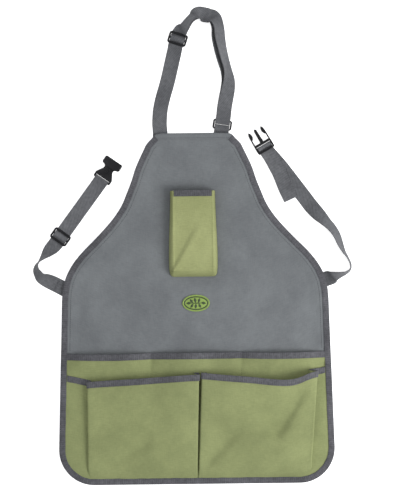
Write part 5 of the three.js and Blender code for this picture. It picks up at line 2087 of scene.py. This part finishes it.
@dataclass
class Webbing:
    """Makes straps of twill webbing from their stations."""

    finishes: Finishes
    steps: int = 6
    wave: float = 0.9

    def frames(self, stations: Sequence[Station], quiet: Sequence[tuple[float, float]]) -> Frames:
        """Dense places along a strap.

        Args:
            stations: The places that it runs through.
            quiet: Places near which it doesn't wave.

        Returns:
            The frames, with the strap's width and its thickness as their axes.
        """
        rough = np.array([(s.x, s.y, s.z, *s.across) for s in stations])
        dense = smoothed(rough, self.steps)
        origin, a = dense[:, :3], unit(dense[:, 3:])
        step = np.concatenate([[0], np.linalg.norm(np.diff(origin, axis=0), axis=1)])
        travel = np.cumsum(step)
        free = np.ones(len(travel))
        for x, y in quiet:
            free *= ease((np.hypot(origin[:, 0] - x, origin[:, 1] - y) - 16) / 26)
        origin[:, 2] += self.wave * free * (1 + ripples(travel, travel * 0, 52, 41))
        along = unit(np.gradient(origin, axis=0))
        a = unit(a - along * np.sum(a * along, axis=1, keepdims=True))
        return Frames(origin, a, np.cross(a, along))

    def strap(
        self, name: str, node_name: str, stations: Sequence[Station],
        quiet: Sequence[tuple[float, float]],
    ) -> Piece:
        """A strap with rounded, slightly thicker selvages.

        Args:
            name: The piece's name.
            node_name: The CAD node that it stands for.
            stations: The places that it runs through.
            quiet: Places near which it doesn't wave.

        Returns:
            The new piece.
        """
        w, t = STOCK.web_width / 2, STOCK.web / 2
        half = [(-w, 0.0), (-w + 0.15, t * 0.7), (-w + 0.7, t), (-w + 2.2, t), (-w + 2.7, t * 0.82)]
        top = half + [(-a, b) for a, b in half[::-1]]
        section = np.array(top + [(a, -b) for a, b in top[::-1] if abs(a) < w])
        piece = swept(name, self.frames(stations, quiet), section)
        return dress(piece, self.finishes.webbing, Slot.WEBBING, node_name)


def rest_on_floor(rows: Sequence[StrapRow], way: StrapWay, above: float = 0.0) -> list[Station]:
    """Stations of a strap's table, resting on the floor or on another layer.

    Args:
        rows: The strap's table.
        way: What its shares stand for.
        above: Height of what the strap rests on.

    Returns:
        The stations.
    """
    made = []
    for row in rows:
        x, y = way.place(row.spread, row.reach)
        made.append(station(x, y, row.across, row.tilt, above))
    return made


def doubled(rows: Sequence[StrapRow], way: StrapWay) -> tuple[list[Station], list[Station]]:
    """Upper and lower layers of a doubled stretch.

    Args:
        rows: The stretch's table.
        way: What its shares stand for.

    Returns:
        The stations of the upper layer and those of the lower one.
    """
    upper, lower = [], []
    for row in rows:
        x, y = way.place(row.spread, row.reach)
        rise = STOCK.web + row.apart
        lean, flat = math.radians(row.tilt), math.radians(row.across)
        upper.append(station(x, y, row.across, row.tilt, rise * math.cos(lean)))
        shift = rise * math.sin(lean)
        lower.append(
            station(x + math.cos(flat) * shift, y + math.sin(flat) * shift, row.across, row.tilt)
        )
    return upper, lower


@dataclass
class Straps:
    """The neck strap with its tab and the two waist straps, with the seats of their fittings."""

    webbing: Webbing
    stitching: Stitching
    neck_slider: Seat = field(init=False)
    neck_ring: Seat = field(init=False)
    waist_slider: Seat = field(init=False)
    socket: Seat = field(init=False)
    plug: Seat = field(init=False)
    slider_to_socket: float = 118.0
    waist_heading: float = 53.6
    ring_slack: float = RING_LENGTH / 2 - BAR_RADIUS - LOOP_RADIUS - (STOCK.web + STOCK.gap) / 2

    def __post_init__(self) -> None:
        """Works out where the fittings sit."""
        self.neck_slider = Seat(*NECK_WAY.place(0.316, 0.784), 72.0)
        self.neck_ring = Seat(46.5 + 2.8, TOP_Y + RING_LENGTH / 2 + 4.9, 90.0 + RING_LEAN)
        self.waist_slider = Seat(*WAIST_LEFT_WAY.place(-0.005, 0.420), self.waist_heading)
        far = self.waist_slider.station(self.slider_to_socket, 0, 0)
        self.socket = Seat(far.x, far.y, self.waist_heading + 1.5)
        self.plug = Seat(*WAIST_RIGHT_WAY.place(-0.425, 0.914), 120.0)

    def build(self) -> list[Piece]:
        """Makes every strap and the stitches across them."""
        made = [self.neck(), self.tab(), self.waist_left(), self.waist_right()]
        return made + [self.bar_tacks()]

    def neck(self) -> Piece:
        """From the bib up through the slider, over the top, round the ring and back.

        Returns:
            The new piece.
        """
        ring, slider = self.neck_ring, self.neck_slider
        bar = RING_LENGTH / 2 - BAR_RADIUS
        top = LOOP_RADIUS * 2 + STOCK.web / 2
        ring_across = ring.heading - 270
        slider_across = slider.heading - 90
        upper, lower = doubled(NECK_DOUBLE, NECK_WAY)
        stations = rest_on_floor(NECK_LEG, NECK_WAY)
        stations += through_slider(slider, slider_across)
        stations += upper
        stations.append(ring.station(bar + 9, top - 1, ring_across))
        stations += turn_round(ring, bar, ring_across, -1, self.ring_slack)
        stations.append(ring.station(bar + 9, FLAT_Z, ring_across))
        stations += lower[::-1]
        stations.append(slider.station(SLIDER_LENGTH / 2, FLAT_Z, slider_across))
        stations.append(slider.station(0, FLAT_Z, slider_across))
        quiet = [(slider.x, slider.y), (ring.x, ring.y), (NECK_WAY.x, TOP_Y - 5)]
        return self.webbing.strap("neck_webbing", "neck_strap", stations, quiet)

    def tab(self) -> Piece:
        """The short loop that holds the ring at the bib.

        Returns:
            The new piece.
        """
        ring = self.neck_ring
        bar = RING_LENGTH / 2 - BAR_RADIUS
        run = (ring.y - (TOP_Y - 12)) / math.cos(math.radians(RING_LEAN))
        stations = [
            ring.station(-bar - 4.3, SECOND_Z, RING_LEAN),
            ring.station(-bar - 2.3, SECOND_Z + 2.3, RING_LEAN),
        ]
        stations += turn_round(ring, -bar, RING_LEAN, 1, self.ring_slack)
        stations.append(ring.station(-run, FLAT_Z, RING_LEAN))
        return self.webbing.strap("neck_tab_webbing", "neck_tab", stations, [(ring.x, ring.y)])

    def waist_left(self) -> Piece:
        """From the waist through the slider, round the buckle's bar and back.

        Returns:
            The new piece.
        """
        slider = self.waist_slider
        across = slider.heading - 90
        half, far = SLIDER_LENGTH / 2, self.slider_to_socket
        stations = rest_on_floor(WAIST_LEFT_LEG, WAIST_LEFT_WAY)
        stations += through_slider(slider, across)
        for along in (half + 6, far * 0.4, far * 0.7, far - 10):
            stations.append(slider.station(along, SECOND_Z, across))
        stations += turn_round(self.socket, BAR_RADIUS, self.socket.heading - 90, 1)
        for along in (far - 8, far * 0.7, far * 0.4, half + 6, 0):
            stations.append(slider.station(along, FLAT_Z, across))
        anchor = WAIST_LEFT_WAY.place(-0.03, 0.02)
        quiet = [(slider.x, slider.y), (self.socket.x, self.socket.y), anchor]
        return self.webbing.strap("waist_left_webbing", "waist_strap_left", stations, quiet)

    def waist_right(self) -> Piece:
        """From the waist round the plug's middle bar and back as the free tail.

        Returns:
            The new piece.
        """
        plug = self.plug
        across = plug.heading + 90
        radius = PLUG_BAR_RADIUS + STOCK.gap + STOCK.web / 2
        middle_z = STOCK.web + STOCK.gap + PLUG_BAR_RADIUS
        stations = rest_on_floor(WAIST_RIGHT_LEG, WAIST_RIGHT_WAY)
        stations.append(plug.station(0, FLAT_Z, across))
        for angle in (-90, -45, 0, 45, 90):
            turn = math.radians(angle)
            along = PLUG_MIDDLE_BAR - PLUG_BAR_RADIUS + radius * math.cos(turn)
            stations.append(plug.station(along, middle_z + radius * math.sin(turn), across))
        under = SLIDER_LOW - STOCK.gap - STOCK.web / 2
        stations.append(plug.station(7.4, middle_z + radius, across))
        stations.append(plug.station(3.9, under, across))
        stations.append(plug.station(-0.5, under, across))
        stations += rest_on_floor(TAIL, WAIST_RIGHT_WAY, STOCK.web + STOCK.gap)
        quiet = [(plug.x, plug.y), WAIST_RIGHT_WAY.place(0.0, 0.0)]
        return self.webbing.strap("waist_right_webbing", "waist_strap_right", stations, quiet)

    def across_row(self, x: float, y: float, z: float, angle: float) -> tuple:
        """A row of stitches across a flat stretch of webbing.

        Args:
            x: Place of the row's middle.
            y: Place of the row's middle.
            z: Height of the stitches.
            angle: Compass angle of the row, in degrees.

        Returns:
            The row's points and the normals there.
        """
        turn = math.radians(angle)
        reach = np.linspace(-11, 11, 12)[:, None]
        middle = np.array([[x, y, z]])
        line = middle + reach * np.array([[math.cos(turn), math.sin(turn), 0.0]])
        return line, straight_up(len(line))

    def bar_tacks(self) -> Piece:
        """Rows of stitches: where the left strap leaves the apron, and across the tail's end.

        Returns:
            The stitches as one piece.
        """
        single, second = STOCK.web - THREAD_SUNK, 2 * STOCK.web + STOCK.gap - THREAD_SUNK
        reach_unit = WAIST_LEFT_WAY.reach
        runs = []
        for distance in (7.0, 9.0):
            x, y = WAIST_LEFT_WAY.place(
                -0.002 - distance / reach_unit, 0.009 + distance * 0.5 / reach_unit
            )
            runs.append(self.across_row(x, y, single, WAIST_LEFT_ANGLE))
        for spread, reach in ((-0.272, 0.597), (-0.284, 0.623)):
            x, y = WAIST_RIGHT_WAY.place(spread, reach)
            runs.append(self.across_row(x, y, second, 210))
        return self.stitching.sew("strap_stitches", runs, Slot.WEBBING)


# Moulded fittings


@dataclass
class MouldedFittings:
    """Sliders, ring and side-release buckle: the frame's solids with their edges rounded."""

    finishes: Finishes
    straps: Straps
    rounding: float = 0.5
    slider_height: float = 2.4
    socket_rise: float = 2.1
    socket_length: float = 41.0
    rib_width: float = 0.8
    rib_height: float = 0.9
    rib_sunk: float = 0.15

    def build(self) -> list[Piece]:
        """Makes every fitting."""
        made = []
        for node_name in ("neck_slider", "waist_slider", "buckle_socket", "buckle_plug"):
            made.append(self.rounded(node_name, self.rounding))
        made.append(self.rounded("neck_ring", 0.0))
        made.append(self.slider_ribs("neck_slider_ribs", self.straps.neck_slider))
        made.append(self.slider_ribs("waist_slider_ribs", self.straps.waist_slider))
        made.append(self.socket_ribs())
        return made

    def rounded(self, node_name: str, amount: float) -> Piece:
        """A copy of a solid, merged and with its sharp edges bevelled.

        Args:
            node_name: The CAD node.
            amount: The bevel's width, or 0 to leave the solid's own edges.

        Returns:
            The new piece, which stands for the node.
        """
        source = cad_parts[node_name]
        piece = bpy.data.objects.new(node_name + "_moulding", source.data.copy())
        bpy.context.scene.collection.objects.link(piece)
        edit_all(piece)
        bpy.ops.mesh.remove_doubles(threshold=0.005 * MM)
        end_edit()
        if amount:
            edit_all(piece)
            bpy.ops.mesh.dissolve_limited(angle_limit=math.radians(1.5))
            end_edit()
            bevel_edges(piece, amount, 3, 38)
        soften(piece, 45)
        return dress(piece, self.finishes.plastic, Slot.PLASTIC, node_name)

    def rib(self, seat: Seat, along: float, z: float, length: float) -> Piece:
        """A low rounded rib across a fitting.

        Args:
            seat: The fitting's place.
            along: Where the rib is along the fitting.
            z: Height of its base.
            length: Its length across the fitting.

        Returns:
            The rib, still to be joined to the others.
        """
        deselect()
        x, y = seat.place(0, along)
        bpy.ops.mesh.primitive_cube_add(size=1 * MM, location=(x * MM, y * MM, z * MM))
        piece = bpy.context.object
        piece.scale = (length, self.rib_width, self.rib_height)
        piece.rotation_euler = (0, 0, math.radians(seat.heading - 90))
        apply_place()
        bevel_edges(piece, 0.3, 3)
        return piece

    def slider_ribs(self, name: str, seat: Seat) -> Piece:
        """Grip ribs moulded on both end bars of a slider.

        Args:
            name: The piece's name.
            seat: The slider's place.

        Returns:
            The ribs as one piece.
        """
        base = SLIDER_LOW + self.slider_height - self.rib_sunk
        bar = SLIDER_LENGTH / 2 - SLIDER_BAR / 2
        places = [side * (bar + step) for side in (-1, 1) for step in (-0.8, 0.8)]
        ribs = join_pieces(name, [self.rib(seat, along, base, 20) for along in places])
        return dress(ribs, self.finishes.plastic, Slot.PLASTIC)

    def socket_ribs(self) -> Piece:
        """Grip ribs across the socket's waist, where a thumb rests."""
        seat = self.straps.socket
        base = LOOP_RADIUS + STOCK.web / 2 + self.socket_rise - self.rib_sunk
        places = [(0.40 + 0.05 * k) * self.socket_length for k in range(4)]
        ribs = join_pieces("socket_ribs", [self.rib(seat, along, base, 11) for along in places])
        return dress(ribs, self.finishes.plastic, Slot.PLASTIC)


# Studio


@dataclass
class Studio:
    """A pale floor, soft light mostly from the right, and the camera straight above."""

    target: tuple[float, float] = (20.9, 61.0)
    view_height: float = 850.0
    distance: float = 2600.0
    roll: float = 0.66

    def build(self) -> None:
        """Makes the floor, the lights and the camera."""
        self.floor()
        self.light("key_softbox", (1500, -550, 1300), 1100, 40.0)
        self.light("fill_softbox", (-1200, 300, 1900), 1700, 12.0)
        self.light("top_softbox", (200, 1500, 1700), 1500, 8.0)
        world = bpy.data.worlds.new("studio_air")
        bpy.context.scene.world = world
        world.use_nodes = True
        air = world.node_tree.nodes["Background"]
        air.inputs["Color"].default_value = linear("#f4f6fa")
        air.inputs["Strength"].default_value = 0.42
        bpy.context.scene.view_settings.view_transform = "Standard"
        self.camera()

    def floor(self) -> None:
        """A wide plane just under the cloth: white paper on a light table, so shadows stay pale."""
        deselect()
        bpy.ops.mesh.primitive_plane_add(size=9.0, location=(0, 0, -0.0004))
        floor = bpy.context.object
        apply_place()
        floor.name = "floor"
        material, tree = new_material("matt_white_paper")
        shader = node(
            tree, "ShaderNodeBsdfPrincipled",
            {
                "Base Color": linear("#f8f8f8"), "Roughness": 0.9,
                "Emission Color": linear("#ffffff"), "Emission Strength": 0.7,
            },
        )
        node(tree, "ShaderNodeOutputMaterial", {0: shader.outputs[0]})
        floor.data.materials.append(material)

    def light(self, name: str, place: tuple[float, float, float], size: float, power: float) -> None:
        """A square softbox facing the apron.

        Args:
            name: The light's name.
            place: Where it stands.
            size: Its side.
            power: Its power in watts.
        """
        data = bpy.data.lights.new(name, "AREA")
        data.shape = "SQUARE"
        data.size = size * MM
        data.energy = power
        lamp = bpy.data.objects.new(name, data)
        bpy.context.scene.collection.objects.link(lamp)
        lamp.location = [value * MM for value in place]
        away = np.array([place[0] - self.target[0], place[1] - self.target[1], place[2]])
        yaw = math.atan2(away[1], away[0])
        pitch = math.atan2(math.hypot(away[0], away[1]), away[2])
        lamp.rotation_euler = (0, pitch, yaw)

    def camera(self) -> None:
        """A long lens straight above, turned by the little that the apron lies askew."""
        data = bpy.data.cameras.new("camera")
        data.sensor_width = 36.0
        data.lens = 36.0 * self.distance / self.view_height
        data.clip_end = 50.0
        camera = bpy.data.objects.new("camera", data)
        bpy.context.scene.collection.objects.link(camera)
        camera.location = (self.target[0] * MM, self.target[1] * MM, self.distance * MM)
        camera.rotation_euler = (0, 0, -math.radians(self.roll))
        bpy.context.scene.camera = camera


def main() -> None:
    """Builds the apron and its studio in order."""
    logging.basicConfig(level=logging.INFO, format="%(name)s %(message)s")
    finishes = Finishes()
    outline = Outline()
    layers = Layers(outline)
    stitching = Stitching(finishes)
    mouth_tape = MouthTape(finishes, stitching)
    straps = Straps(Webbing(finishes), stitching)
    builders = [
        Panel(outline, layers, finishes, stitching),
        Holster(finishes, stitching, mouth_tape),
        ToolPocket(outline, layers, finishes, stitching, mouth_tape),
        FrontPocket(
            Side.LEFT, 17.0, FRONT_LEFT, LEFT_EDGE_DROPS, outline, layers, finishes, mouth_tape,
        ),
        FrontPocket(
            Side.RIGHT, 24.0, FRONT_RIGHT, RIGHT_EDGE_DROPS, outline, layers, finishes, mouth_tape,
        ),
        Patch(finishes),
        straps,
        MouldedFittings(finishes, straps),
    ]
    for builder in builders:
        made = builder.build()
        log.info("%s made %d pieces", type(builder).__name__, len(made))
    Studio().build()


if __name__ == "__main__":
    main()
